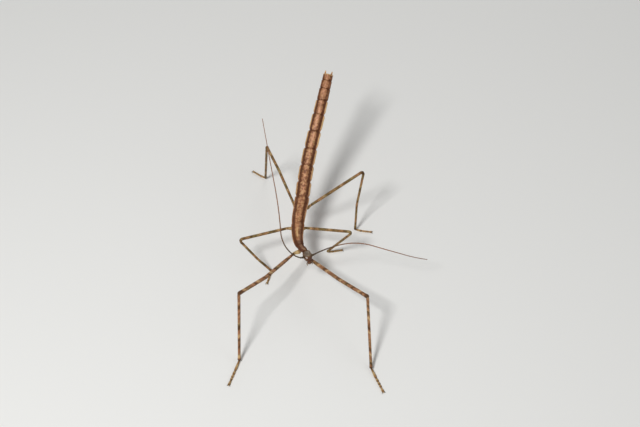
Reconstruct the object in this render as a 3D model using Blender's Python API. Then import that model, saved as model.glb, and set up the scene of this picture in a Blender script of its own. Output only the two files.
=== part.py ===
"""A brown wingless stick insect, life size, standing on six legs with its abdomen raised.

Blender 4.5, metres, +Z up. The head looks along -Y and the animal's left side is at +X.
The trunk and each limb are shaped whole along a path, and parted into pieces by thin cuts.
"""

import math
from typing import NamedTuple

import bmesh
import bpy
from mathutils import Vector
from mathutils.geometry import interpolate_bezier

MM = 0.001
UP = Vector((0.0, 0.0, 1.0))
CUT = 0.3 * MM  # the gap between two neighbouring pieces
STEP = 0.25 * MM  # how close together the points of a path lie, at most
SHARP_ANGLE = 50.0

# Trunk. The waist, between mesothorax and metathorax, is over the origin until all is centred.
WAIST = Vector((0.0, 0.0, 15.2 * MM))
TRUNK_SIDES = 16
TRUNK_DEPTH = 0.78  # height over width
BELLY = 0.86  # how deep the underside is, over the height of the back
SIDE_EDGE, SIDE_EDGE_SHARPNESS = 0.05, 8  # how far the edge along each side stands out, and how sharply
ABDOMEN_FLARE = 0.05  # how much wider a ring's rear edge stands than the rest of it
PLATE_TUCK, PLATE_LIP = 0.12, 0.60  # up to where a plate's front is tucked in, and where its flare starts
TUCK_DEPTH = 0.5  # how much a plate's front edge is tucked in, over what its rear edge flares
PLATE_RINGS = (PLATE_TUCK, 0.35, PLATE_LIP, 0.85)

# Head, read from the mouth back to the neck.
HEAD_LENGTH = 4.7 * MM
HEAD_TURN = -17.0
HEAD_DIPS = (3.0, 10.0, 42.0)  # how steeply it dips at the neck, on the whole and at the mouth
HEAD_WIDTH, HEAD_HEIGHT = 3.6 * MM, 3.0 * MM
HEAD_OUTLINE = (  # the share of the length come, then of the width and of the height
    (0.00, 0.50, 0.62),
    (0.10, 0.68, 0.78),
    (0.24, 0.88, 0.92),
    (0.40, 1.00, 1.00),
    (0.58, 0.99, 1.00),
    (0.78, 0.93, 0.93),
    (0.92, 0.80, 0.78),
    (1.00, 0.62, 0.60),
)
HEAD_SIDES = 18
EYE_RADIUS, EYE_SIDES, EYE_RINGS = 0.60 * MM, 14, 9
EYE_SHARE, EYE_OUT, EYE_UP = 0.47, 1.52 * MM, 0.18 * MM
EYE_ROUGHNESS = 0.25

# Mouth. Each palp leaves the mouth's lower corner, reaches forwards and turns up at its elbow.
MOUTH_SIDES, MOUTH_SWELL = 10, 0.6
PALP_SIDES, PALP_WIDTH, PALP_ELBOW_RADIUS = 6, 0.50 * MM, 0.50 * MM
PALP_OUT, PALP_DOWN, PALP_BONE = 0.84 * MM, 0.50 * MM, 0.72 * MM
PALP_REACH, PALP_TURN = (1.0, 0.30, 0.35), (0.7, 0.0, 1.0)  # each bone's way ahead, outwards and up

# Feelers: where they grow, and the thickness of their first two joints and of the whip.
FEELER_SHARE, FEELER_ANGLE = 0.345, 33.0
FEELER_SIDES, FEELER_STEP = 6, 2.0 * STEP
SCAPE_LENGTH, PEDICEL_LENGTH = 1.0 * MM, 0.7 * MM
SCAPE_WIDTH, PEDICEL_WIDTH = 0.85 * MM, 0.68 * MM
WHIP_WIDTH, WHIP_TIP_WIDTH = 0.56 * MM, 0.50 * MM
SCAPE_RINGS, PEDICEL_RINGS = (0.0, 0.40, 0.98), (0.07, 0.90, 1.29)  # shares of each one's length
BASE_RINGS, WHIP_RINGS = 8, 11

# Legs.
LEG_SIDES = 8
HIP_RADIUS, BOW_RADIUS, KNEE_RADIUS, ANKLE_RADIUS = 0.50 * MM, 9.0 * MM, 0.80 * MM, 0.55 * MM
COXA_WIDTH, TROCHANTER_WIDTH = 1.15 * MM, 0.86 * MM  # for a femur 1 mm thick
COXA_STUB, TROCHANTER_LENGTH = 0.75 * MM, 0.25 * MM
BASE_PLACE, BOW_PLACE = 0.2, 0.57  # where a femur's thin base ends and where a bone bows most
KNEE_START, KNEE_SWELL = 0.9, 0.12
FEMUR_RINGS = (0.0, 0.1, BASE_PLACE, 0.35, 0.6, KNEE_START, 1.0)
ANKLE_START, ANKLE_SWELL, SHIN_TAPER = 0.88, 0.14, 0.08
KNEE_RINGS, SHIN_RINGS, SHIN_START = 6, 7, 1.0 * MM  # the shin's rings start this far below the knee
COXA_RINGS = 6
PLAIN_TIBIA = 1.05  # the width in mm of a tibia whose foot is TARSUS_WIDTH broad

# Feet.
ANKLE_HEIGHT, TARSUS_HEIGHT = 0.85 * MM, 0.40 * MM
TARSOMERES = (0.38, 0.17, 0.13, 0.10, 0.22)  # each foot joint's share of the foot
TARSUS_WIDTH = 0.84 * MM
TARSUS_WAIST = 0.74  # how thick a foot joint is at its base, over its thickness at its pad
TARSOMERE_RINGS = (0.03, 0.68, 0.97)
PAD_START, PAD_FULL = 0.60, 0.70  # where in a foot joint its pad starts and is full
PAD_REACH = 0.13 * MM  # what of a pad comes this near the floor lies on it
CLAW_LENGTH, CLAW_SPREAD, CLAW_DROP = 0.95 * MM, 24.0, 0.24 * MM
CLAW_ROOT_BACK, CLAW_ROOT_OUT, CLAW_ARCH = 0.30 * MM, 0.22 * MM, 0.4
CLAW_WIDTH, CLAW_TIP_WIDTH = 0.42 * MM, 0.16 * MM
CLAW_SIDES, CLAW_RINGS = 5, 4

# Tail.
CERCUS_LENGTH, CERCUS_SIDES, CERCUS_RINGS = 1.15 * MM, 8, 4
CERCUS_BASE, CERCUS_TIP = (0.85 * MM, 0.60 * MM), (0.55 * MM, 0.50 * MM)  # width and height
CERCUS_OUT, CERCUS_UP, CERCUS_SPLAY = 1.30 * MM, 0.20 * MM, 0.06

SIDES = {"left": 1.0, "right": -1.0}

# Colours.
BROWN, DULL_BROWN = (0.305, 0.127, 0.065), (0.225, 0.110, 0.070)
LEG_TAN, FEELER_BROWN = (0.330, 0.185, 0.085), (0.230, 0.130, 0.065)
EYE_BROWN, CLAW_BROWN = (0.060, 0.030, 0.018), (0.090, 0.040, 0.020)


class Plate(NamedTuple):
    """One ring of the trunk: its direction goes towards the tail, in degrees, its sizes in mm."""

    name: str
    length: float
    turn: float
    climb: float
    front_width: float
    rear_width: float
    flare: float


class Mouthpart(NamedTuple):
    """One plate of the mouth: its place, its length and its width and height at each end, in mm."""

    name: str
    out: float
    rise: float
    length: float
    base: tuple
    tip: tuple


class Build(NamedTuple):
    """How one pair of legs is made: the lengths and widths of its bones in mm, and where it grows."""

    plate: str
    plate_share: float
    hip_angle: float  # how far below the trunk's side, in degrees
    femur: float
    tibia: float
    tarsus: float
    femur_width: float
    tibia_width: float
    base_share: float  # how thick the femur's base is, over its middle


class Leg(NamedTuple):
    """How one leg is held: its hip in mm, its directions in degrees and how far each bone bows, in mm."""

    hip: tuple
    femur_turn: float
    femur_climb: float
    tibia_turn: float
    foot_turn: float
    femur_bow: float
    tibia_bow: float


class Feeler(NamedTuple):
    """One feeler: its length in mm, and its turns and climbs in degrees at even stretches of it."""

    way: int  # 1 on the left, -1 on the right
    length: float
    turns: tuple
    climbs: tuple
    quickness: float  # the power of the length that the turns and climbs go by


THORAX = (
    Plate("prothorax", 3.6, -36.0, 3.0, 2.6, 3.2, 0.03),
    Plate("mesothorax", 10.9, -3.0, 0.0, 3.5, 5.2, 0.02),
    Plate("metathorax", 12.0, 10.3, 16.0, 5.0, 5.6, 0.03),
)
ABDOMEN_LENGTHS = (6.5, 6.9, 7.1, 7.3, 7.1, 5.9, 4.9, 3.4, 2.8)
ABDOMEN_TURNS = (9.0, 19.3, 17.5)
ABDOMEN_CLIMBS = (24.0, 35.0, 32.0)
ABDOMEN_WIDTHS = (5.65, 5.35, 4.95, 3.8)

MOUTHPARTS = (
    Mouthpart("labrum", 0.0, 0.68, 0.85, (1.55, 0.52), (1.15, 0.50)),
    Mouthpart("labium", 0.0, -0.66, 0.75, (0.85, 0.52), (0.62, 0.50)),
    Mouthpart("mandible_left", 0.46, 0.02, 0.80, (0.72, 0.58), (0.50, 0.50)),
    Mouthpart("mandible_right", -0.46, 0.02, 0.80, (0.72, 0.58), (0.50, 0.50)),
)

BUILDS = {
    "front": Build("prothorax", 0.60, 48.0, 37.0, 27.5, 11.7, 1.5, 1.25, 0.66),
    "middle": Build("mesothorax", 0.93, 42.0, 19.8, 19.1, 6.2, 1.2, 1.05, 0.86),
    "hind": Build("metathorax", 0.70, 42.0, 25.4, 27.7, 6.7, 1.2, 1.05, 0.86),
}
LEGS = {
    "front_left": Leg((2.6, -13.1, 11.4), -49.5, 12.2, -88.6, -69.1, 0.5, 0.0),
    "front_right": Leg((-1.7, -12.7, 12.8), -127.1, 17.9, -95.0, -110.0, -1.1, 0.0),
    "middle_left": Leg((2.7, 0.1, 12.8), -20.1, 12.2, 158.9, 7.9, 0.0, 0.0),
    "middle_right": Leg((-4.5, -0.2, 13.3), 201.0, 6.0, -21.5, -107.4, 0.0, 0.7),
    "hind_left": Leg((5.1, 9.2, 15.8), 17.4, 26.7, -115.0, -11.3, 0.0, 0.7),
    "hind_right": Leg((-1.6, 10.8, 16.0), 116.3, 27.2, 104.4, 141.0, 0.4, 0.0),
}

FEELERS = {
    "left": Feeler(1, 52.2, (5.3, -3.6, -20.0, 4.0, 38.0), (33.7, 20.6, -5.0, -31.0, -45.0), 1.0),
    "right": Feeler(-1, 62.8, (229.0, 165.0, 92.4, 100.0, 99.0), (8.0, 31.3, 29.0, 26.0, 26.0), 0.5),
}


def pointing(turn, climb):
    """A unit direction, `turn` degrees from +X towards +Y and `climb` degrees above level."""
    turn, climb = math.radians(turn), math.radians(climb)
    return Vector((math.cos(climb) * math.cos(turn), math.cos(climb) * math.sin(turn), math.sin(climb)))


def towards_tail(turn, climb):
    """A unit direction `turn` degrees from +Y towards +X, the way that the trunk's plates run."""
    return pointing(90.0 - turn, climb)


def mix(low, high, share):
    """The value that lies this share of the way from low to high."""
    return low + (high - low) * share


def reading(values, share):
    """Reads evenly spaced values at a share of their whole run, in straight stretches."""
    place = min(max(share, 0.0), 1.0) * (len(values) - 1)
    index = min(int(place), len(values) - 2)
    return mix(values[index], values[index + 1], place - index)


class Path:
    """A line through close points, read by the distance along it.

    The up side is given at its far end and carried back without twisting, so that rings line up.
    """

    def __init__(self, points, up=UP):
        self.points = points
        self.reach = [0.0]
        for before, after in zip(points, points[1:]):
            self.reach.append(self.reach[-1] + (after - before).length)
        self.length = self.reach[-1]
        last = len(points) - 1
        nexts, befores = [*points[1:], points[last]], [points[0], *points[:-1]]
        self.alongs = [(after - before).normalized() for before, after in zip(befores, nexts)]
        self.ups = []
        after = self.alongs[-1]
        for along in reversed(self.alongs):
            up = after.rotation_difference(along) @ up
            up = (up - along * up.dot(along)).normalized()
            self.ups.append(up)
            after = along
        self.ups.reverse()

    def at(self, distance):
        """The point, the direction, the left side and the up side at this distance."""
        distance = min(max(distance, 0.0), self.length)
        index = 0
        while index < len(self.points) - 2 and self.reach[index + 1] < distance:
            index += 1
        share = (distance - self.reach[index]) / (self.reach[index + 1] - self.reach[index])
        place = self.points[index].lerp(self.points[index + 1], share)
        along = self.alongs[index].lerp(self.alongs[index + 1], share).normalized()
        up = self.ups[index].lerp(self.ups[index + 1], share)
        up = (up - along * up.dot(along)).normalized()
        return place, along, along.cross(up), up


def bent(start, end, start_along, end_along):
    """Points of a gentle curve between two points, leaving and arriving along given directions."""
    handle = (end - start).length / 3.0
    count = max(int((end - start).length / STEP), 2) + 1
    return interpolate_bezier(start, start + start_along * handle, end - end_along * handle, end, count)


def rounded(corners, radii):
    """Points of straight runs between corners, each inner corner turned as an arc of its radius.

    Also gives, for each inner corner, the numbers of the points where its arc starts and ends.
    """
    points, marks = [corners[0]], []
    for before, corner, after, radius in zip(corners, corners[1:], corners[2:], radii):
        back, ahead = (before - corner).normalized(), (after - corner).normalized()
        half_turn = 0.5 * (math.pi - back.angle(ahead))
        centre = corner + (back + ahead).normalized() * radius / math.cos(half_turn)
        spoke = corner + back * radius * math.tan(half_turn) - centre
        last_spoke = corner + ahead * radius * math.tan(half_turn) - centre
        turn = spoke.rotation_difference(last_spoke)
        steps = max(int(2.0 * half_turn * radius / STEP), 4)
        first = len(points)
        for step in range(steps + 1):
            part = turn.copy()
            part.angle = turn.angle * step / steps
            points.append(centre + part @ spoke)
        marks.append((first, len(points) - 1))
    points.append(corners[-1])
    return points, marks


def oval(across, rise):
    """A plain oval, from a point of the unit circle."""
    return across, rise


def trunk_section(across, rise):
    """An oval with a flatter belly and a slight edge along each side."""
    edge = 1.0 + SIDE_EDGE * abs(across) ** SIDE_EDGE_SHARPNESS
    return across * edge, rise * (1.0 if rise > 0.0 else BELLY)


def mouth_section(across, rise):
    """An oval swollen towards its corners, as small plates are."""
    swell = 1.0 + MOUTH_SWELL * (across * rise) ** 2
    return across * swell, rise * swell


def surface_point(path, distance, size, section, angle):
    """The point and the outward direction on a surface, `angle` degrees up from its left side."""
    place, _, side, up = path.at(distance)
    width, height = size(distance)
    angle = math.radians(angle)
    across, rise = section(math.cos(angle), math.sin(angle))
    out = (side * math.cos(angle) / width + up * math.sin(angle) / height).normalized()
    return place + 0.5 * (side * across * width + up * rise * height), out


def finish(name, colour, roughness):
    """A plain material of this colour."""
    material = bpy.data.materials.new(name)
    material.use_nodes = True
    shader = material.node_tree.nodes["Principled BSDF"]
    shader.inputs["Base Color"].default_value = (*colour, 1.0)
    shader.inputs["Roughness"].default_value = roughness
    shader.inputs["Metallic"].default_value = 0.0
    return material


def new_object(name, bm, colour, roughness=0.6):
    """Puts the shape into the scene as one named object, its outer faces shaded smooth."""
    bmesh.ops.recalc_face_normals(bm, faces=bm.faces)
    mesh = bpy.data.meshes.new(name)
    bm.to_mesh(mesh)
    bm.free()
    mesh.shade_smooth()
    mesh.set_sharp_from_angle(angle=math.radians(SHARP_ANGLE))
    mesh.materials.append(finish(name, colour, roughness))
    made = bpy.data.objects.new(name, mesh)
    bpy.context.scene.collection.objects.link(made)
    return made


def add_loft(bm, path, distances, size, sides, section=oval, settle=None):
    """Adds a closed body to the shape: a ring at each distance, bridged, with a cap at each end."""
    rings = []
    for distance in distances:
        place, _, side, up = path.at(distance)
        width, height = size(distance)
        circle = bmesh.ops.create_circle(bm, segments=sides, radius=1.0)["verts"]
        for vert in circle:
            across, rise = section(vert.co.x, vert.co.y)
            vert.co = place + 0.5 * (side * across * width + up * rise * height)
            if settle:
                settle(vert, distance)
        rings.append(list({edge for vert in circle for edge in vert.link_edges}))
    for near, far in zip(rings, rings[1:]):
        bmesh.ops.bridge_loops(bm, edges=near + far)
    for end in (rings[0], rings[-1]):
        bmesh.ops.contextual_create(bm, geom=end)


def loft(name, path, distances, size, sides, colour, section=oval, settle=None):
    """Makes one object of rings along a path."""
    bm = bmesh.new()
    add_loft(bm, path, distances, size, sides, section, settle)
    return new_object(name, bm, colour)


def spread(start, end, count):
    """Evenly spaced values from start to end."""
    return [mix(start, end, index / (count - 1)) for index in range(count)]


def abdomen_plates():
    """The nine free rings of the abdomen, their turn, climb and width read along the whole of it."""
    plates = []
    total, done = sum(ABDOMEN_LENGTHS), 0.0
    for number, length in enumerate(ABDOMEN_LENGTHS, start=2):
        middle = (done + 0.5 * length) / total
        plates.append(
            Plate(
                f"abdomen_{number:02d}",
                length,
                reading(ABDOMEN_TURNS, middle),
                reading(ABDOMEN_CLIMBS, middle),
                reading(ABDOMEN_WIDTHS, done / total),
                reading(ABDOMEN_WIDTHS, (done + length) / total),
                ABDOMEN_FLARE,
            )
        )
        done += length
    return plates


def plate_size(plate, path):
    """Width and height along one plate: tucked in at the front edge and flared at the rear one."""

    def size(distance):
        share = distance / path.length
        lip = max(share - PLATE_LIP, 0.0) / (1.0 - PLATE_LIP)
        tuck = TUCK_DEPTH * max(PLATE_TUCK - share, 0.0) / PLATE_TUCK
        width = MM * mix(plate.front_width, plate.rear_width, share) * (1.0 + plate.flare * (lip - tuck))
        return width, width * TRUNK_DEPTH

    return size


def build_trunk():
    """Makes the trunk's plates and gives each one's path and size, by name, from head to tail."""
    plates = [*THORAX, *abdomen_plates()]
    alongs = [towards_tail(plate.turn, plate.climb) for plate in plates]
    front = WAIST.copy()
    for plate, along in zip(THORAX[:2], alongs):
        front -= along * plate.length * MM
    joints = [front]
    for plate, along in zip(plates, alongs):
        joints.append(joints[-1] + along * plate.length * MM)
    joint_alongs = [alongs[0], *((a + b).normalized() for a, b in zip(alongs, alongs[1:])), alongs[-1]]
    trunk = {}
    for index, plate in enumerate(plates):
        path = Path(bent(*joints[index : index + 2], *joint_alongs[index : index + 2]))
        size = plate_size(plate, path)
        rings = [share * path.length for share in PLATE_RINGS]
        distances = [0.5 * CUT, *rings, path.length - 0.5 * CUT]
        loft(plate.name, path, distances, size, TRUNK_SIDES, BROWN, trunk_section)
        trunk[plate.name] = path, size
    return trunk


def head_size(path):
    """Width and height along the head, read from its outline."""

    def size(distance):
        share = distance / path.length
        for near, far in zip(HEAD_OUTLINE, HEAD_OUTLINE[1:]):
            if share <= far[0]:
                break
        part = (share - near[0]) / (far[0] - near[0])
        return HEAD_WIDTH * mix(near[1], far[1], part), HEAD_HEIGHT * mix(near[2], far[2], part)

    return size


def build_head(trunk):
    """Makes the head capsule with a socket for each eye, and the eyes; gives its path and size."""
    neck, neck_along, _, _ = trunk["prothorax"][0].at(0.0)
    nod, level, mouth_nod = HEAD_DIPS
    mouth = neck - towards_tail(HEAD_TURN, level) * HEAD_LENGTH
    neck_along = (neck_along + towards_tail(HEAD_TURN, nod)).normalized()
    path = Path(bent(mouth, neck, towards_tail(HEAD_TURN, mouth_nod), neck_along))
    size = head_size(path)
    distances = [share * path.length for share, _, _ in HEAD_OUTLINE]
    distances[-1] -= CUT
    head = loft("head", path, distances, size, HEAD_SIDES, DULL_BROWN)
    place, _, side, up = path.at(EYE_SHARE * path.length)
    for name, way in SIDES.items():
        centre = place + side * way * EYE_OUT + up * EYE_UP
        ball(f"eye_{name}", centre, EYE_RADIUS)
        socket = ball(f"socket_{name}", centre, EYE_RADIUS + CUT)
        boolean(head, socket, "DIFFERENCE")
    return path, size


def ball(name, centre, radius):
    """A ball, glossy and dark as the eyes are."""
    bm = bmesh.new()
    bmesh.ops.create_uvsphere(bm, u_segments=EYE_SIDES, v_segments=EYE_RINGS, radius=radius)
    bmesh.ops.translate(bm, verts=bm.verts, vec=centre)
    return new_object(name, bm, EYE_BROWN, EYE_ROUGHNESS)


def boolean(target, tool, operation):
    """Cuts the tool from the target or joins it on, and keeps the tool out of the model."""
    tool.hide_render = True
    tool.display_type = "WIRE"
    modifier = target.modifiers.new(tool.name, "BOOLEAN")
    modifier.operation = operation
    modifier.solver = "EXACT"
    modifier.object = tool


def tapered(path, base, tip):
    """Width and height that change evenly from the path's base to its tip."""

    def size(distance):
        share = distance / path.length
        return mix(base[0], tip[0], share), mix(base[1], tip[1], share)

    return size


def build_mouth(head_path):
    """Makes the upper lip, the jaws, the lower lip and its two long palps, in front of the head."""
    place, along, side, up = head_path.at(0.0)
    ahead = -along
    front = place + ahead * CUT
    for part in MOUTHPARTS:
        start = front + (side * part.out + up * part.rise) * MM
        path = Path([start, start + ahead * part.length * MM], up)
        base, tip = [value * MM for value in part.base], [value * MM for value in part.tip]
        size = tapered(path, base, tip)
        loft(part.name, path, spread(0.0, path.length, 3), size, MOUTH_SIDES, DULL_BROWN, mouth_section)
    for name, way in SIDES.items():
        corners = [front + side * way * PALP_OUT - up * PALP_DOWN]
        for onwards, out, rise in (PALP_REACH, PALP_TURN):
            bone = (ahead * onwards + side * way * out + up * rise).normalized() * PALP_BONE
            corners.append(corners[-1] + bone)
        path = Path(rounded(corners, [PALP_ELBOW_RADIUS])[0], up)
        size = tapered(path, (PALP_WIDTH, PALP_WIDTH), (PALP_WIDTH, PALP_WIDTH))
        loft(f"palp_{name}", path, spread(0.0, path.length, 6), size, PALP_SIDES, DULL_BROWN)


def build_feeler(name, feeler, head_path, head_sizes):
    """Makes one feeler in three lengths, swept from the head in an even curve."""
    angle = FEELER_ANGLE if feeler.way > 0 else 180.0 - FEELER_ANGLE
    root, out = surface_point(head_path, FEELER_SHARE * head_path.length, head_sizes, oval, angle)
    points = [root + out * CUT]
    steps = int(feeler.length * MM / FEELER_STEP)
    for step in range(steps):
        share = ((step + 0.5) / steps) ** feeler.quickness
        onwards = pointing(reading(feeler.turns, share), reading(feeler.climbs, share))
        points.append(points[-1] + onwards * FEELER_STEP)
    path = Path(points)

    def size(distance):
        width = mix(WHIP_WIDTH, WHIP_TIP_WIDTH, distance / path.length)
        if distance < SCAPE_LENGTH:
            width = SCAPE_WIDTH
        elif distance < SCAPE_LENGTH + PEDICEL_LENGTH:
            width = PEDICEL_WIDTH
        return width, width

    third = path.length / 3.0
    scape = [share * SCAPE_LENGTH for share in SCAPE_RINGS]
    pedicel = [SCAPE_LENGTH + share * PEDICEL_LENGTH for share in PEDICEL_RINGS]
    base = spread(pedicel[-1], third - 0.5 * CUT, BASE_RINGS)
    lengths = {
        "base": [*scape, *pedicel, *base[1:]],
        "middle": spread(third + 0.5 * CUT, 2.0 * third - 0.5 * CUT, WHIP_RINGS),
        "tip": spread(2.0 * third + 0.5 * CUT, path.length, WHIP_RINGS),
    }
    for length, distances in lengths.items():
        loft(f"antenna_{name}_{length}", path, distances, size, FEELER_SIDES, FEELER_BROWN)


def leg_path(build, leg, trunk):
    """The line through one leg from the trunk to the tip of its foot, and where its bends are."""
    plate_path, plate_sizes = trunk[build.plate]
    angle = -build.hip_angle if leg.hip[0] > 0.0 else 180.0 + build.hip_angle
    root, out = surface_point(
        plate_path, build.plate_share * plate_path.length, plate_sizes, trunk_section, angle
    )
    hip = Vector(leg.hip) * MM
    thigh = pointing(leg.femur_turn, leg.femur_climb)
    knee = hip + thigh * build.femur * MM
    slope = math.degrees(math.asin((knee.z - ANKLE_HEIGHT) / (build.tibia * MM)))
    shin = pointing(leg.tibia_turn, -slope)
    ankle = knee + shin * build.tibia * MM
    foot = pointing(leg.foot_turn, 0.0) * build.tarsus * MM
    heel_drop = UP * (ANKLE_HEIGHT - TARSUS_HEIGHT)
    half_turn = 0.5 * thigh.angle(shin)
    knee_out = (thigh - shin).normalized() * KNEE_RADIUS * (1.0 / math.cos(half_turn) - 1.0)
    bends = [
        (root + out * CUT, 0.0),
        (root + out * COXA_STUB, HIP_RADIUS),
        (hip, HIP_RADIUS),
        (bowed(hip, knee, leg.femur_bow), BOW_RADIUS),
        (knee + knee_out, KNEE_RADIUS),
        (bowed(knee, ankle, leg.tibia_bow), BOW_RADIUS),
        (ankle, ANKLE_RADIUS),
        (ankle + foot * TARSOMERES[0] - heel_drop, ANKLE_RADIUS),
        (ankle + foot - heel_drop, 0.0),
    ]
    bends = [bend for bend in bends if bend[0]]
    points, marks = rounded([corner for corner, _ in bends], [radius for _, radius in bends[1:-1]])
    path = Path(points)
    reaches = [(path.reach[first], path.reach[last]) for first, last in marks]
    return path, reaches[1], reaches[3 if leg.femur_bow else 2], reaches[-2]


def bowed(start, end, bow):
    """The corner that bows a bone sideways, or nothing where the bone is straight."""
    level = (end - start).cross(UP).normalized()
    return start.lerp(end, BOW_PLACE) + level * bow * MM if bow else None


def build_leg(name, leg, trunk):
    """Makes the four pieces of one leg, with thin cuts at the hip, the knee and the ankle."""
    pair, side = name.split("_")
    build = BUILDS[pair]
    path, hip, knee, ankle = leg_path(build, leg, trunk)
    hip_cut = hip[1] + TROCHANTER_LENGTH
    knee_cut, ankle_cut = knee[0], ankle[0]

    def coxa_size(distance):
        width = mix(COXA_WIDTH, TROCHANTER_WIDTH, distance / hip_cut) * build.femur_width
        return width, width

    def femur_size(distance):
        share = (distance - hip_cut) / (knee_cut - hip_cut)
        swell = 1.0 + KNEE_SWELL * max(share - KNEE_START, 0.0) / (1.0 - KNEE_START)
        base = mix(build.base_share, 1.0, min(share / BASE_PLACE, 1.0))
        width = build.femur_width * MM * base * swell
        return width, width

    def tibia_size(distance):
        share = (distance - knee_cut) / (ankle_cut - knee_cut)
        flare = ANKLE_SWELL * max(share - ANKLE_START, 0.0) / (1.0 - ANKLE_START)
        width = build.tibia_width * MM * (1.0 - SHIN_TAPER * share + flare)
        return width, width

    half_cut = 0.5 * CUT
    distances = spread(0.0, hip_cut - half_cut, COXA_RINGS)
    loft(f"{pair}_coxa_{side}", path, distances, coxa_size, LEG_SIDES, DULL_BROWN)
    distances = [mix(hip_cut + half_cut, knee_cut - half_cut, share) for share in FEMUR_RINGS]
    loft(f"{pair}_femur_{side}", path, distances, femur_size, LEG_SIDES, LEG_TAN)
    distances = spread(knee_cut + half_cut, knee[1], KNEE_RINGS)
    distances += spread(knee[1] + SHIN_START, ankle_cut - half_cut, SHIN_RINGS)
    loft(f"{pair}_tibia_{side}", path, distances, tibia_size, LEG_SIDES, LEG_TAN)
    build_foot(f"{pair}_tarsus_{side}", path, ankle_cut + half_cut, build.tibia_width / PLAIN_TIBIA)


def build_foot(name, path, start, breadth):
    """Makes one foot of five joints, set down flat on its pads, with a pair of claws at its tip."""
    length = path.length - start

    def joint_share(distance):
        """The share of its own foot joint that this distance has come."""
        share, done = (distance - start) / length, 0.0
        for part in TARSOMERES:
            if share <= done + part:
                break
            done += part
        return (share - done) / part

    def size(distance):
        width = TARSUS_WIDTH * mix(TARSUS_WAIST, 1.0, min(joint_share(distance) / PAD_FULL, 1.0))
        return width * breadth, width

    def set_down(vert, distance):
        if joint_share(distance) > PAD_START and vert.co.z < PAD_REACH:
            vert.co.z = 0.0

    distances, done = [], 0.0
    for part in TARSOMERES:
        distances += [start + length * (done + part * share) for share in TARSOMERE_RINGS]
        done += part
    distances[0] = start
    foot = loft(name, path, distances, size, LEG_SIDES, LEG_TAN, oval, set_down)
    boolean(foot, build_claws(f"{name}_claws", path), "UNION")


def build_claws(name, path):
    """A pair of claws that spread from the path's end and arch down to their tips."""
    tip, along, side, _ = path.at(path.length)
    bm = bmesh.new()
    for way in SIDES.values():
        out = (along + side * way * math.tan(math.radians(CLAW_SPREAD))).normalized()
        root = tip - along * CLAW_ROOT_BACK + side * way * CLAW_ROOT_OUT
        end = root + out * CLAW_LENGTH - UP * CLAW_DROP
        line = Path(bent(root, end, (out + UP * CLAW_ARCH).normalized(), (out - UP).normalized()))
        size = tapered(line, (CLAW_WIDTH, CLAW_WIDTH), (CLAW_TIP_WIDTH, CLAW_TIP_WIDTH))
        add_loft(bm, line, spread(0.0, line.length, CLAW_RINGS), size, CLAW_SIDES)
    return new_object(name, bm, CLAW_BROWN)


def build_cerci(trunk):
    """Makes the two short feelers at the tail's end."""
    tail_path, _ = trunk["abdomen_10"]
    tail, along, side, up = tail_path.at(tail_path.length)
    for name, way in SIDES.items():
        start = tail + along * 0.5 * CUT + side * way * CERCUS_OUT + up * CERCUS_UP
        out = (along + side * way * CERCUS_SPLAY).normalized()
        path = Path([start, start + out * CERCUS_LENGTH], up)
        size = tapered(path, CERCUS_BASE, CERCUS_TIP)
        loft(f"cercus_{name}", path, spread(0.0, path.length, CERCUS_RINGS), size, CERCUS_SIDES, DULL_BROWN)


def centre_on_floor():
    """Hangs every object on one empty, placed so that the model's box is centred on the origin."""
    made = [obj for obj in bpy.data.objects if obj.type == "MESH"]
    corners = [vert.co for obj in made for vert in obj.data.vertices]
    low = Vector(min(co[axis] for co in corners) for axis in range(3))
    high = Vector(max(co[axis] for co in corners) for axis in range(3))
    stance = bpy.data.objects.new("stance", None)
    bpy.context.scene.collection.objects.link(stance)
    stance.location = (-0.5 * (low.x + high.x), -0.5 * (low.y + high.y), -low.z)
    for obj in made:
        obj.parent = stance


def main():
    """Clears the scene and builds the animal from its trunk outwards."""
    for obj in list(bpy.data.objects):
        bpy.data.objects.remove(obj, do_unlink=True)
    trunk = build_trunk()
    head_path, head_sizes = build_head(trunk)
    build_mouth(head_path)
    for name, feeler in FEELERS.items():
        build_feeler(name, feeler, head_path, head_sizes)
    for name, leg in LEGS.items():
        build_leg(name, leg, trunk)
    build_cerci(trunk)
    centre_on_floor()


main()
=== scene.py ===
"""Dresses a packed stick insect with its shell, eyes, claws and setae, and sets it in a studio.

Sizes in the classes are in millimetres, on the drawing's own axes: the head looks along -Y, the
insect's left side is at +X, and the waist between mesothorax and metathorax is over the origin.
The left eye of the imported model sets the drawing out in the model's frame, in metres.
Each piece is a surface on a grid: rings carried along a centre line, with the size of a ring
given by the share of the line's length and by the angle round it, from the left side upwards.
"""

import logging
import math
from dataclasses import dataclass, field
from enum import Enum
from functools import partial
from typing import Callable, NamedTuple

import bpy
import numpy as np
from mathutils import Euler, Matrix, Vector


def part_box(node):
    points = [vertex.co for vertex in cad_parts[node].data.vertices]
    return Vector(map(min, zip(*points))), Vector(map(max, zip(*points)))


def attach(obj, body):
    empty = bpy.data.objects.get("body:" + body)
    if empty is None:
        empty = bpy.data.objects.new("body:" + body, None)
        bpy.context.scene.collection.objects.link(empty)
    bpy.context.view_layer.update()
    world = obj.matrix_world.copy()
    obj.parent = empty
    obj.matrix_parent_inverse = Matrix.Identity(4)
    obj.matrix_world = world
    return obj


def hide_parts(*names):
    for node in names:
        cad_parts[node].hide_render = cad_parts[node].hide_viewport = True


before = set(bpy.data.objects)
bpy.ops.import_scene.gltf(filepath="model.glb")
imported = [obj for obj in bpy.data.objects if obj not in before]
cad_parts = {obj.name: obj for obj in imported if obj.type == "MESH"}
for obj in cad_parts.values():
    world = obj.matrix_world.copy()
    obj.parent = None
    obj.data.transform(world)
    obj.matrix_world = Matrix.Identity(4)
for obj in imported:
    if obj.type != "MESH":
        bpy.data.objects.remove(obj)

log = logging.getLogger("stick_insect")

Array = np.ndarray
Screen = tuple[int, int, int]
Marks = dict[str, Array | float]
Socket = bpy.types.NodeSocket

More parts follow.
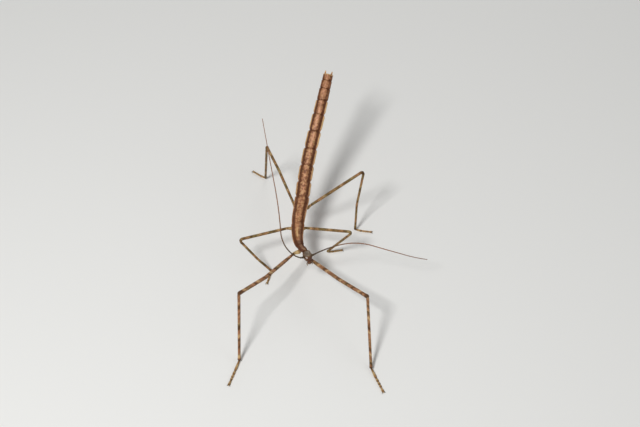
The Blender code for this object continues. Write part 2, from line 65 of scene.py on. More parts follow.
MM = 0.001
UP = np.array((0.0, 0.0, 1.0))
MARK_NAMES = ("warm", "cool", "dark", "pale", "fleck")

# The angle of the middle of the back, in degrees up from the left side.
BACK = 90.0

# How far apart the points of a centre line are, in mm.
LINE_STEP = 0.2

# The share of a bowed bone at which it is bent.
BOW_SHARE = 0.57


class Side(Enum):
    """A side of the body, with the sign of its X."""

    LEFT = 1
    RIGHT = -1

    @property
    def label(self) -> str:
        """The side's name as the nodes spell it."""
        return self.name.lower()


class Pair(Enum):
    """A pair of legs."""

    FRONT = "front"
    MIDDLE = "middle"
    HIND = "hind"


# ---- Small mathematics ----


def unit(vector: Array) -> Array:
    """The vectors at a length of one, each divided by its length along the last axis."""
    return vector / np.linalg.norm(vector, axis=-1, keepdims=True)


def heading(turn: float, climb: float) -> Array:
    """A direction from its turn from +X towards +Y and its climb above level.

    Args:
        turn: degrees round from +X.
        climb: degrees above level.

    Returns:
        The unit vector.
    """
    level, rise = math.radians(turn), math.radians(climb)
    across = math.cos(rise)
    return np.array((across * math.cos(level), across * math.sin(level), math.sin(rise)))


def towards_tail(turn: float, climb: float) -> Array:
    """The direction of a trunk plate, its turn counted in degrees from +Y towards +X."""
    return heading(90.0 - turn, climb)


def ease(low: float, high: float, value: Array) -> Array:
    """A smooth step: 0 below low, 1 above high, and 3t^2 - 2t^3 between them.

    Args:
        low: where the step starts.
        high: where it ends; it may be below low, which turns the step round.
        value: the values to read it at.

    Returns:
        The step at each value.
    """
    share = np.clip((value - low) / (high - low), 0.0, 1.0)
    return share * share * (3.0 - 2.0 * share)


def hump(value: Array, centre: float | Array, width: float | Array) -> Array:
    """A bell curve: e to the minus square of the distance from the centre over the width.

    Args:
        value: the values to read it at.
        centre: where it peaks.
        width: the distance at which it has fallen to about a third.

    Returns:
        The curve at each value, 1 at its peak.
    """
    return np.exp(-(((value - centre) / width) ** 2))


class Bell(NamedTuple):
    """A bell of relief or of colour: its height, where it peaks, and its width."""

    height: float
    centre: float | Array
    width: float

    def at(self, value: Array) -> Array:
        """The bell at each value."""
        return self.height * hump(value, self.centre, self.width)

    def both(self, value: Array) -> Array:
        """The bell and its mirror image on the other side of 0."""
        return self.height * (hump(value, self.centre, self.width) + hump(value, -self.centre, self.width))


def clipped(value: Array) -> Array:
    """The values kept between 0 and 1."""
    return np.clip(value, 0.0, 1.0)


def angle_from(angle: Array, centre: float) -> Array:
    """How far each angle is from a centre the short way round, from -180 to 180 degrees."""
    return (angle - centre + 180.0) % 360.0 - 180.0


def ripple(value: Array, lengths: tuple[float, ...], start: float) -> Array:
    """An uneven wave: the mean of sines of several lengths, each with its own start.

    Args:
        value: the distances to read it at.
        lengths: the wave lengths, in the same unit.
        start: a number that moves the waves along, different for each limb.

    Returns:
        Values between -1 and 1.
    """
    turns = (2.0 * np.pi * value / length + start * (2 + index) for index, length in enumerate(lengths))
    return sum(np.sin(turn) for turn in turns) / len(lengths)


# ---- Centre lines ----


class Stations(NamedTuple):
    """Places on a centre line, with the direction, the left side and the up side at each."""

    place: Array
    along: Array
    side: Array
    up: Array


class Carry(Enum):
    """How the up side is found along a line."""

    LEVEL = "as near to the vertical as it can be, everywhere"
    FORWARDS = "given at the start and carried on without twisting"


@dataclass
class Line:
    """A centre line through close points, in mm, with its sides worked out."""

    points: Array
    carry: Carry = Carry.LEVEL
    start_up: Array = field(default_factory=lambda: UP)

    def __post_init__(self) -> None:
        """Measures the line: the distance, the direction and the up side at each point."""
        steps = np.linalg.norm(np.diff(self.points, axis=0), axis=1)
        self.reach = np.concatenate(([0.0], np.cumsum(steps)))
        self.alongs = unit(np.gradient(self.points, self.reach, axis=0))
        self.ups = self._carried_ups()

    @property
    def length(self) -> float:
        """The whole length of the line."""
        return float(self.reach[-1])

    def _carried_ups(self) -> Array:
        """The up side at each point: the part of it that is square to the line.

        Returns:
            Unit vectors, one for each point.
        """
        if self.carry is Carry.LEVEL:
            lean = self.alongs @ self.start_up
            return unit(self.start_up - self.alongs * lean[:, None])
        ups = np.empty_like(self.alongs)
        current = self.start_up
        for index, along in enumerate(self.alongs):
            current = unit(current - along * (current @ along))
            ups[index] = current
        return ups

    def _read(self, values: Array, distance: Array) -> Array:
        """Vectors of the line's points, read straight between them at some distances."""
        return np.stack([np.interp(distance, self.reach, values[:, axis]) for axis in range(3)], axis=-1)

    def at(self, distance: Array | float) -> Stations:
        """Reads the line.

        Args:
            distance: distances from the start, in mm.

        Returns:
            The stations at those distances.
        """
        distance = np.atleast_1d(np.asarray(distance, float))
        along = unit(self._read(self.alongs, distance))
        up = self._read(self.ups, distance)
        up = unit(up - along * np.sum(up * along, axis=-1, keepdims=True))
        return Stations(self._read(self.points, distance), along, np.cross(along, up), up)

    def part(self, start: float, end: float, carry: Carry, up: Array) -> "Line":
        """A length of this line as a line of its own.

        Args:
            start: where it starts, in mm; before 0 it runs straight on backwards.
            end: where it ends, in mm; past the length it runs straight on.
            carry: how its up side is found.
            up: the up side to start from.

        Returns:
            The new line.
        """
        distances = np.linspace(start, end, max(int((end - start) / LINE_STEP), 4) + 1)
        places = self.at(distances).place
        places += np.minimum(distances, 0.0)[:, None] * self.alongs[0]
        places += np.maximum(distances - self.length, 0.0)[:, None] * self.alongs[-1]
        return Line(places, carry, up)


def bent(start: Array, end: Array, start_along: Array, end_along: Array) -> Array:
    """Points of a cubic curve between two points, with handles a third of the way long.

    Args:
        start: the first point.
        end: the last point.
        start_along: the direction that it leaves along.
        end_along: the direction that it arrives along.

    Returns:
        The points, about LINE_STEP apart.
    """
    span = float(np.linalg.norm(end - start))
    share = np.linspace(0.0, 1.0, max(int(span / LINE_STEP), 2) + 1)[:, None]
    near, far = start + start_along * span / 3.0, end - end_along * span / 3.0
    rest = 1.0 - share
    return rest**3 * start + 3.0 * rest**2 * share * near + 3.0 * rest * share**2 * far + share**3 * end


def rounded(corners: list[Array], radii: list[float]) -> tuple[Array, list[float]]:
    """Points of straight runs between corners, each inner corner turned as an arc.

    An arc is the start spoke times the sine of the angle left, plus the end spoke times the sine
    of the angle done, over the sine of the whole angle.

    Args:
        corners: the corners in order.
        radii: the radius of the arc at each inner corner.

    Returns:
        The points, and the distance along them of the middle of each arc.
    """
    runs, middles = [corners[0][None, :]], []
    for before, corner, after, radius in zip(corners, corners[1:], corners[2:], radii):
        back, ahead = unit(before - corner), unit(after - corner)
        half = 0.5 * (math.pi - math.acos(float(np.clip(back @ ahead, -1.0, 1.0))))
        centre = corner + unit(back + ahead) * radius / math.cos(half)
        first = corner + back * radius * math.tan(half) - centre
        last = corner + ahead * radius * math.tan(half) - centre
        share = np.linspace(0.0, 1.0, 2 * max(int(half * radius / LINE_STEP), 4) + 1)[:, None]
        whole = 2.0 * half
        arc = (np.sin((1.0 - share) * whole) * first + np.sin(share * whole) * last) / math.sin(whole)
        middles.append(sum(len(run) for run in runs) + len(share) // 2)
        runs.append(centre + arc)
    points = np.concatenate([*runs, corners[-1][None, :]])
    close = [points[:1]]
    for before, after in zip(points, points[1:]):
        count = max(int(np.linalg.norm(after - before) / LINE_STEP), 1)
        close.append(before + (after - before) * np.linspace(0.0, 1.0, count + 1)[1:, None])
    reach = np.concatenate(([0.0], np.cumsum(np.linalg.norm(np.diff(points, axis=0), axis=1))))
    return np.concatenate(close), [float(reach[index]) for index in middles]


# ---- Surfaces ----


@dataclass
class Patch:
    """One closed tube: rings of points along a line, with a value of each marking at each point."""

    points: Array
    marks: dict[str, Array]

    def steps(self) -> tuple[Array, Array]:
        """The step from ring to ring and the step across two columns, at each point."""
        around = np.roll(self.points, -1, axis=1) - np.roll(self.points, 1, axis=1)
        return np.gradient(self.points, axis=0), around

    def normals(self) -> Array:
        """The outward direction at each point: the step along crossed with the step round."""
        square = np.cross(*self.steps())
        return square / np.maximum(np.linalg.norm(square, axis=-1, keepdims=True), 1e-12)

    def areas(self) -> Array:
        """The area that each point stands for: the step along times half the step across.

        Returns:
            The areas in square mm, with none at the three rings by each pole.
        """
        along, around = (np.linalg.norm(step, axis=-1) for step in self.steps())
        area = along * 0.5 * around
        area[:3] = 0.0
        area[-3:] = 0.0
        return area

    def keep_above_floor(self) -> None:
        """Lifts every point that is below the floor up to it."""
        self.points[..., 2] = np.maximum(self.points[..., 2], 0.0)

    @staticmethod
    def flat(values: Array) -> Array:
        """The rings' values in one row, then the two poles': the means of the end rings."""
        return np.concatenate((values.reshape(-1, *values.shape[2:]), values[[0, -1]].mean(axis=1)))

    def faces(self, first: int) -> tuple[Array, Array]:
        """The four-sided faces between rings, and the fans from the poles to the end rings.

        Args:
            first: the number of the patch's first point in its mesh.

        Returns:
            The corners of the four-sided faces and of the three-sided ones.
        """
        rows, columns = self.points.shape[:2]
        ring = np.arange(columns)
        following = (ring + 1) % columns
        row = np.arange(rows - 1)[:, None] * columns
        corners = row + ring, row + columns + ring, row + columns + following, row + following
        last, pole = (rows - 1) * columns, np.full(columns, rows * columns)
        fans = (pole, ring, following), (pole + 1, last + following, last + ring)
        walls = np.stack(corners, axis=-1).reshape(-1, 4)
        return first + walls, first + np.concatenate([np.stack(fan, axis=-1) for fan in fans])


@dataclass
class Grid:
    """The rings of a tube: a row for each distance along its line, a column for each angle."""

    line: Line
    distances: Array
    columns: int
    caps: tuple[float, float] = (1.0, 1.0)

    def __post_init__(self) -> None:
        """Reads the distance, the share, the angle, its cosine and its sine at every point."""
        angle = np.arange(self.columns)[None, :] * 360.0 / self.columns
        self.distance, self.angle = np.broadcast_arrays(self.distances[:, None], angle)
        self.share = self.distance / self.line.length
        self.cos, self.sin = np.cos(np.radians(self.angle)), np.sin(np.radians(self.angle))

    def fullness(self) -> Array:
        """How much of its thickness each ring keeps: a quarter of an ellipse over each rounded end.

        Returns:
            Shares from 0 at the very ends to 1.
        """
        left = np.stack((self.distance, self.line.length - self.distance), axis=-1)
        gone = clipped(1.0 - left / np.array(self.caps))
        return np.prod(np.sqrt(clipped(1.0 - gone**2)), axis=-1)

    def patch(self, across: Array, rise: Array, marks: Marks) -> Patch:
        """Carries the rings along the line: place + side times the width across + up times the rise.

        Args:
            across: the width across at each point, in mm.
            rise: the rise at each point, in mm.
            marks: the markings by name; what isn't named is 0.

        Returns:
            The patch.
        """
        at = self.line.at(self.distances)
        points = at.place[:, None] + at.side[:, None] * across[..., None] + at.up[:, None] * rise[..., None]
        shape = self.distance.shape
        return Patch(points, {name: np.broadcast_to(marks.get(name, 0.0), shape) for name in MARK_NAMES})

    def oval(self, width: Array, height: Array, marks: Marks) -> Patch:
        """Oval rings with rounded ends: half the width times the cosine, half the height times the sine.

        Args:
            width: the full width, in mm.
            height: the full height, in mm.
            marks: the markings by name.

        Returns:
            The patch.
        """
        half = 0.5 * self.fullness()
        return self.patch(width * half * self.cos, height * half * self.sin, marks)


def capped(line: Line, caps: tuple[float, float], step: float, columns: int) -> Grid:
    """The grid of a tube with rounded ends: even in the middle, and closer over the rounding.

    Args:
        line: the centre line.
        caps: how long the rounding is at the start and at the end, in mm.
        step: the distance between rings in the middle, in mm.
        columns: how many points a ring has.

    Returns:
        The grid, its first and last rings close to the poles.
    """
    turn = np.linspace(0.12, 1.0, 7) * 0.5 * np.pi
    start = caps[0] * (1.0 - np.cos(turn))
    end = line.length - caps[1] * (1.0 - np.cos(turn[::-1]))
    count = max(int((line.length - sum(caps)) / step), 2) + 1
    middle = np.linspace(caps[0], line.length - caps[1], count)
    return Grid(line, np.unique(np.concatenate((start, middle, end)).round(6)), columns, caps)


def mesh_object(
    name: str, points: Array, faces: list[Array], material: bpy.types.Material
) -> bpy.types.Object:
    """Puts points in mm and faces into a smooth mesh object at the origin.

    Args:
        name: the object's name.
        points: its points, in mm, in the model's frame.
        faces: arrays of faces, each array of one number of corners.
        material: its finish.

    Returns:
        The object, linked to the scene.
    """
    mesh = bpy.data.meshes.new(name)
    mesh.vertices.add(len(points))
    mesh.vertices.foreach_set("co", (points * MM).astype(np.float32).reshape(-1))
    corners = np.concatenate([group.reshape(-1) for group in faces]).astype(np.int32)
    totals = np.concatenate([np.full(len(group), group.shape[1]) for group in faces])
    mesh.loops.add(len(corners))
    mesh.loops.foreach_set("vertex_index", corners)
    mesh.polygons.add(len(totals))
    mesh.polygons.foreach_set("loop_start", (np.cumsum(totals) - totals).astype(np.int32))
    mesh.update(calc_edges=True)
    mesh.shade_smooth()
    mesh.materials.append(material)
    made = bpy.data.objects.new(name, mesh)
    bpy.context.scene.collection.objects.link(made)
    return made


# ---- Finishes ----


def linear(screen: Screen) -> tuple[float, float, float]:
    """A colour as the shaders take it, from its screen values of 0 to 255."""
    values = (value / 255.0 for value in screen)
    return tuple(each / 12.92 if each <= 0.04045 else ((each + 0.055) / 1.055) ** 2.4 for each in values)


@dataclass
class Bench:
    """A node tree being wired."""

    tree: bpy.types.NodeTree

    def node(self, kind: str, **settings: object) -> bpy.types.Node:
        """Adds a node and sets its properties, or its inputs where a name begins with a capital.

        Args:
            kind: the node's type name without "ShaderNode".
            **settings: properties in small letters; inputs with a capital, spaces as underscores.

        Returns:
            The node.
        """
        made = self.tree.nodes.new("ShaderNode" + kind)
        for name, value in settings.items():
            if not name[0].isupper():
                setattr(made, name, value)
        for name, value in settings.items():
            if name[0].isupper():
                self.put(value, made.inputs[name.replace("_", " ")])
        return made

    def put(self, value: object, socket: Socket) -> None:
        """Links a socket to another, or sets its value.

        Args:
            value: a socket, a number, or a colour of three.
            socket: the input.
        """
        if isinstance(value, Socket):
            self.tree.links.new(value, socket)
        elif isinstance(value, tuple) and len(value) == 3 and socket.type == "RGBA":
            socket.default_value = (*value, 1.0)
        else:
            socket.default_value = value

    def math(self, operation: str, first: object, second: object) -> Socket:
        """A simple operation on two values.

        Args:
            operation: the Math node's operation.
            first: a socket or a number.
            second: a socket or a number.

        Returns:
            The result's socket.
        """
        made = self.node("Math", operation=operation)
        self.put(first, made.inputs[0])
        self.put(second, made.inputs[1])
        return made.outputs[0]

    def step(self, value: Socket, low: float, high: float) -> Socket:
        """A smooth step of a value.

        Args:
            value: the value's socket.
            low: where the step is 0.
            high: where the step is 1.

        Returns:
            The step's socket.
        """
        made = self.node("MapRange", interpolation_type="SMOOTHSTEP", From_Min=low, From_Max=high)
        self.put(value, made.inputs["Value"])
        return made.outputs["Result"]

    def blend(self, factor: object, low: object, high: object, kind: str = "MIX") -> Socket:
        """Mixes two colours.

        Args:
            factor: the share of the second.
            low: the first colour or its socket.
            high: the second colour or its socket.
            kind: how they mix.

        Returns:
            The mixed colour's socket.
        """
        made = self.node("Mix", data_type="RGBA", blend_type=kind)
        for place, value in ((0, factor), (6, low), (7, high)):
            self.put(value, made.inputs[place])
        return made.outputs[2]

    def noise(self, place: Socket, size: float, detail: float = 2.0) -> Socket:
        """Noise of a given grain.

        Args:
            place: the coordinates' socket, in metres.
            size: how far apart its light and dark places lie, in mm.
            detail: how many finer layers it has.

        Returns:
            The value's socket, about 0.5 on the whole.
        """
        made = self.node("TexNoise", Vector=place, Scale=1.0 / (size * MM), Detail=detail, Roughness=0.6)
        return made.outputs["Fac"]


def group_tree(name: str, inputs: dict[str, object], outputs: dict[str, str]) -> tuple[Bench, dict, dict]:
    """Starts a node group.

    Args:
        name: the group's name.
        inputs: each input's name and default: a colour or a number.
        outputs: each output's name and socket type.

    Returns:
        The bench, the input sockets by name and the output sockets by name.
    """
    tree = bpy.data.node_groups.new(name, "ShaderNodeTree")
    for label, default in inputs.items():
        kind = "NodeSocketColor" if isinstance(default, tuple) else "NodeSocketFloat"
        socket = tree.interface.new_socket(label, in_out="INPUT", socket_type=kind)
        socket.default_value = (*default, 1.0) if isinstance(default, tuple) else default
    for label, kind in outputs.items():
        tree.interface.new_socket(label, in_out="OUTPUT", socket_type=kind)
    given, taken = tree.nodes.new("NodeGroupInput"), tree.nodes.new("NodeGroupOutput")
    return Bench(tree), dict(given.outputs.items()), dict(taken.inputs.items())


class Flecks(NamedTuple):
    """Flecks of one grain of noise: where they start and are full, and how strong they are."""

    grain: str
    low: float
    high: float
    strength: float


@dataclass(frozen=True)
class Markings:
    """The colouring of the cuticle, shared by every part of the body.

    The piece's own marks say where it is warm, cool, dark, pale or flecked. Noise of several
    grains, in mm, breaks their edges and makes the flecks. Each later colour covers the earlier.
    """

    broad: float = 3.1
    blotch: float = 0.95
    middle: float = 0.55
    fine: float = 0.25
    tones: tuple[str, ...] = ("Base", "Warm", "Cool", "Dark", "Pale")
    pale_flecks: tuple[Flecks, ...] = (Flecks("fine", 0.52, 0.66, 0.30), Flecks("blotch", 0.46, 0.37, 0.42))
    dark_flecks: tuple[Flecks, ...] = (Flecks("blotch", 0.50, 0.60, 0.62), Flecks("middle", 0.54, 0.64, 0.45))

    def group(self) -> bpy.types.NodeTree:
        """Wires the group.

        Returns:
            The group, which puts out the colour and the roughness of each place.
        """
        outputs = {"Color": "NodeSocketColor", "Roughness": "NodeSocketFloat"}
        inputs = dict.fromkeys(self.tones, (0.8, 0.8, 0.8))
        bench, given, taken = group_tree("cuticle markings", inputs, outputs)
        place = bench.node("TexCoord").outputs["Object"]
        mark = {name: bench.node("Attribute", attribute_name=name).outputs["Fac"] for name in MARK_NAMES}
        grain = {
            "broad": bench.noise(place, self.broad, 3.0),
            "blotch": bench.noise(place, self.blotch, 1.5),
            "middle": bench.noise(place, self.middle),
            "fine": bench.noise(place, self.fine),
        }
        shake = bench.math("SUBTRACT", grain["middle"], 0.5)
        cover = {
            name: self.edged(bench, mark[name], shake, raggedness)
            for name, raggedness in (("warm", 0.9), ("cool", 0.7), ("dark", 1.1), ("pale", 0.7))
        }
        lighter = bench.blend(0.35, given["Base"], given["Warm"])
        colour = bench.blend(bench.step(grain["broad"], 0.40, 0.62), given["Base"], lighter)
        colour = bench.blend(cover["warm"], colour, given["Warm"])
        colour = bench.blend(bench.math("MULTIPLY", cover["cool"], 0.85), colour, given["Cool"])
        for each in self.pale_flecks:
            colour = bench.blend(self.flecked(bench, mark, grain, each), colour, given["Pale"])
        colour = bench.blend(bench.math("MULTIPLY", cover["dark"], 0.9), colour, given["Dark"])
        for each in self.dark_flecks:
            colour = bench.blend(self.flecked(bench, mark, grain, each), colour, given["Dark"])
        colour = bench.blend(bench.math("MULTIPLY", cover["pale"], 0.92), colour, given["Pale"])
        shade = bench.math("ADD", bench.math("MULTIPLY", grain["broad"], 0.6), 0.70)
        tint = bench.node("CombineColor", Red=shade, Green=shade, Blue=shade).outputs["Color"]
        bench.put(bench.blend(1.0, colour, tint, "MULTIPLY"), taken["Color"])
        rough = bench.math("ADD", bench.math("MULTIPLY", grain["fine"], 0.25), 0.34)
        worn = bench.math("MULTIPLY", mark["fleck"], 0.12)
        bench.put(bench.math("ADD", rough, worn), taken["Roughness"])
        return bench.tree

    @staticmethod
    def edged(bench: Bench, mark: Socket, shake: Socket, raggedness: float) -> Socket:
        """How much of a mark's colour covers each place: the step of the mark plus ragged noise."""
        return bench.step(bench.math("ADD", mark, bench.math("MULTIPLY", shake, raggedness)), 0.12, 0.88)

    @staticmethod
    def flecked(bench: Bench, mark: dict[str, Socket], grain: dict[str, Socket], flecks: Flecks) -> Socket:
        """How much of the flecks' colour covers each place, where the piece is marked as flecked."""
        spots = bench.step(grain[flecks.grain], flecks.low, flecks.high)
        return bench.math("MULTIPLY", bench.math("MULTIPLY", spots, flecks.strength), mark["fleck"])


def grain_group() -> bpy.types.NodeTree:
    """The fine relief of the cuticle: low rounded granules with wrinkles between them.

    Returns:
        The group, which takes the granules' size in mm and puts out a height from 0 to 1.
    """
    bench, given, taken = group_tree("cuticle grain", {"Granule": 0.2}, {"Height": "NodeSocketFloat"})
    place = bench.node("TexCoord").outputs["Object"]
    scale = bench.math("DIVIDE", 1.0 / MM, given["Granule"])
    cells = bench.node("TexVoronoi", Vector=place, Scale=scale, feature="SMOOTH_F1", Smoothness=0.6)
    granules = bench.math("SUBTRACT", 1.0, cells.outputs["Distance"])
    wrinkles = bench.node("TexNoise", Vector=place, Scale=bench.math("MULTIPLY", scale, 0.6), Detail=4.0)
    height = bench.math("MULTIPLY", granules, 0.6)
    wrinkled = bench.math("MULTIPLY", wrinkles.outputs["Fac"], 0.4)
    bench.put(bench.math("ADD", height, wrinkled), taken["Height"])
    return bench.tree


def new_material(name: str) -> tuple[bpy.types.Material, Bench, dict]:
    """Starts a material.

    Args:
        name: its name.

    Returns:
        The material, its bench and the inputs of its Principled BSDF.
    """
    made = bpy.data.materials.new(name)
    made.use_nodes = True
    return made, Bench(made.node_tree), made.node_tree.nodes["Principled BSDF"].inputs


@dataclass(frozen=True)
class Cuticle:
    """A finish of the shell: five colours and a grain, with the granules' size and relief in mm."""

    name: str
    base: Screen
    warm: Screen
    cool: Screen
    dark: Screen
    pale: Screen
    granule: float = 0.2
    relief: float = 0.03
    coat: float = 0.05
    coat_roughness: float = 0.3
    specular: float = 0.22

    def material(self, markings: bpy.types.NodeTree, grain: bpy.types.NodeTree) -> bpy.types.Material:
        """Wires the finish.

        Args:
            markings: the shared colouring.
            grain: the shared relief.

        Returns:
            The material.
        """
        made, bench, shader = new_material(self.name)
        colours = bench.node("Group", node_tree=markings)
        for label in Markings().tones:
            bench.put(linear(getattr(self, label.lower())), colours.inputs[label])
        relief = bench.node("Group", node_tree=grain, Granule=self.granule)
        raised = bench.node("Bump", Height=relief.outputs["Height"], Strength=1.0, Distance=self.relief * MM)
        for label, value in (
            ("Base Color", colours.outputs["Color"]),
            ("Roughness", colours.outputs["Roughness"]),
            ("Normal", raised.outputs["Normal"]),
            ("Specular IOR Level", self.specular),
            ("Coat Weight", self.coat),
            ("Coat Roughness", self.coat_roughness),
        ):
            bench.put(value, shader[label])
        return made


@dataclass(frozen=True)
class Gloss:
    """A plain glossy finish of two close colours, mixed by noise with a grain in mm."""

    name: str
    colour: Screen
    other: Screen
    grain: float
    roughness: float

    def material(self) -> bpy.types.Material:
        """Wires the finish.

        Returns:
            The material.
        """
        made, bench, shader = new_material(self.name)
        spots = bench.step(bench.noise(bench.node("TexCoord").outputs["Object"], self.grain), 0.4, 0.65)
        bench.put(bench.blend(spots, linear(self.colour), linear(self.other)), shader["Base Color"])
        for label, value in (("Roughness", self.roughness), ("Coat Weight", 0.4), ("Coat Roughness", 0.12)):
            bench.put(value, shader[label])
        return made


CUTICLES = (
    Cuticle(
        "trunk cuticle",
        base=(152, 102, 66),
        # the warm colour is the pinkish tone of the back's middle, which is partly a painted highlight
        warm=(208, 148, 114),
        cool=(112, 84, 68),
        dark=(84, 42, 18),
        pale=(212, 176, 124),
    ),
    Cuticle(
        "head cuticle",
        base=(106, 78, 52),
        warm=(86, 46, 20),
        cool=(114, 101, 86),
        dark=(48, 16, 6),
        pale=(176, 156, 124),
        granule=0.16,
        relief=0.014,
        coat=0.6,
        coat_roughness=0.16,
    ),
    Cuticle(
        "leg cuticle",
        base=(138, 104, 56),
        warm=(160, 110, 78),
        cool=(108, 93, 50),
        dark=(74, 46, 20),
        pale=(202, 174, 124),
        granule=0.14,
        relief=0.018,
    ),
    Cuticle(
        "feeler cuticle",
        base=(124, 88, 58),
        warm=(150, 98, 70),
        cool=(92, 80, 54),
        dark=(62, 44, 26),
        pale=(184, 152, 116),
        granule=0.1,
        relief=0.008,
    ),
)
GLOSSES = (
    Gloss("eye", (52, 34, 24), (96, 66, 44), 0.35, 0.18),
    Gloss("claw", (60, 32, 18), (36, 20, 12), 0.3, 0.25),
    Gloss("foot pad", (190, 168, 132), (160, 132, 98), 0.2, 0.45),
)


class Shop:
    """Makes the pieces of the model with its finishes, at the drawing's place in the frame."""

    def __init__(self, shift: Array) -> None:
        """Makes every material once.

        Args:
            shift: the drawing's place in the frame, in mm.
        """
        self.shift = shift
        markings, grain = Markings().group(), grain_group()
        self.trunk, self.head, self.leg, self.feeler = (each.material(markings, grain) for each in CUTICLES)
        self.eye, self.claw, self.pad = (each.material() for each in GLOSSES)

    def piece(
        self,
        name: str,
        points: Array,
        faces: list[Array],
        marks: dict[str, Array],
        material: bpy.types.Material,
        slot: str,
        nodes: tuple[str, ...] = (),
    ) -> bpy.types.Object:
        """Makes one piece, hangs it on the body, hides the solids that it stands for and logs their names.

        Args:
            name: the piece's name.
            points: its points on the drawing, in mm.
            faces: arrays of faces.
            marks: the markings at its points.
            material: its finish.
            slot: a material slot's name; not used.
            nodes: the solids that it replaces.

        Returns:
            The object, at the origin.
        """
        piece = mesh_object(name, points + self.shift, faces, material)
        for mark, values in marks.items():
            attribute = piece.data.attributes.new(mark, "FLOAT", "POINT")
            attribute.data.foreach_set("value", values.astype(np.float32))
        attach(piece, "root")
        if nodes:
            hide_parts(*nodes)
        log.info("%s: %d faces, for %s", name, len(piece.data.polygons), ", ".join(nodes) or "no node")
        return piece

    def tubes(
        self,
        name: str,
        patches: list[Patch],
        material: bpy.types.Material,
        slot: str,
        nodes: tuple[str, ...] = (),
    ) -> None:
        """Makes one piece of closed tubes.

        Args:
            name: the piece's name.
            patches: the tubes.
            material: its finish.
            slot: the record's material slot.
            nodes: the solids that it replaces.
        """
        points = [patch.flat(patch.points) for patch in patches]
        firsts = np.cumsum([0, *(len(each) for each in points)])
        groups = zip(*(patch.faces(first) for patch, first in zip(patches, firsts)))
        marks = {
            mark: np.concatenate([patch.flat(patch.marks[mark]) for patch in patches]) for mark in MARK_NAMES
        }
        faces = [np.concatenate(group) for group in groups]
        self.piece(name, np.concatenate(points), faces, marks, material, slot, nodes)


# ---- Trunk ----


class Plate(NamedTuple):
    """One ring of the trunk: its direction in degrees, its sizes in mm, and how it is coloured.

    The last five say how strong its pale side edge, its dark side band, its warm middle, which is
    partly its own pinkish tone and partly a painted highlight, its flecks and its pale middle line
    are, from 0 to 1.
    """

    name: str
    length: float
    turn: float
    climb: float
    front_width: float
    rear_width: float
    flare: float
    edge: float
    band: float
    warm: float
    fleck: float
    stripe: float


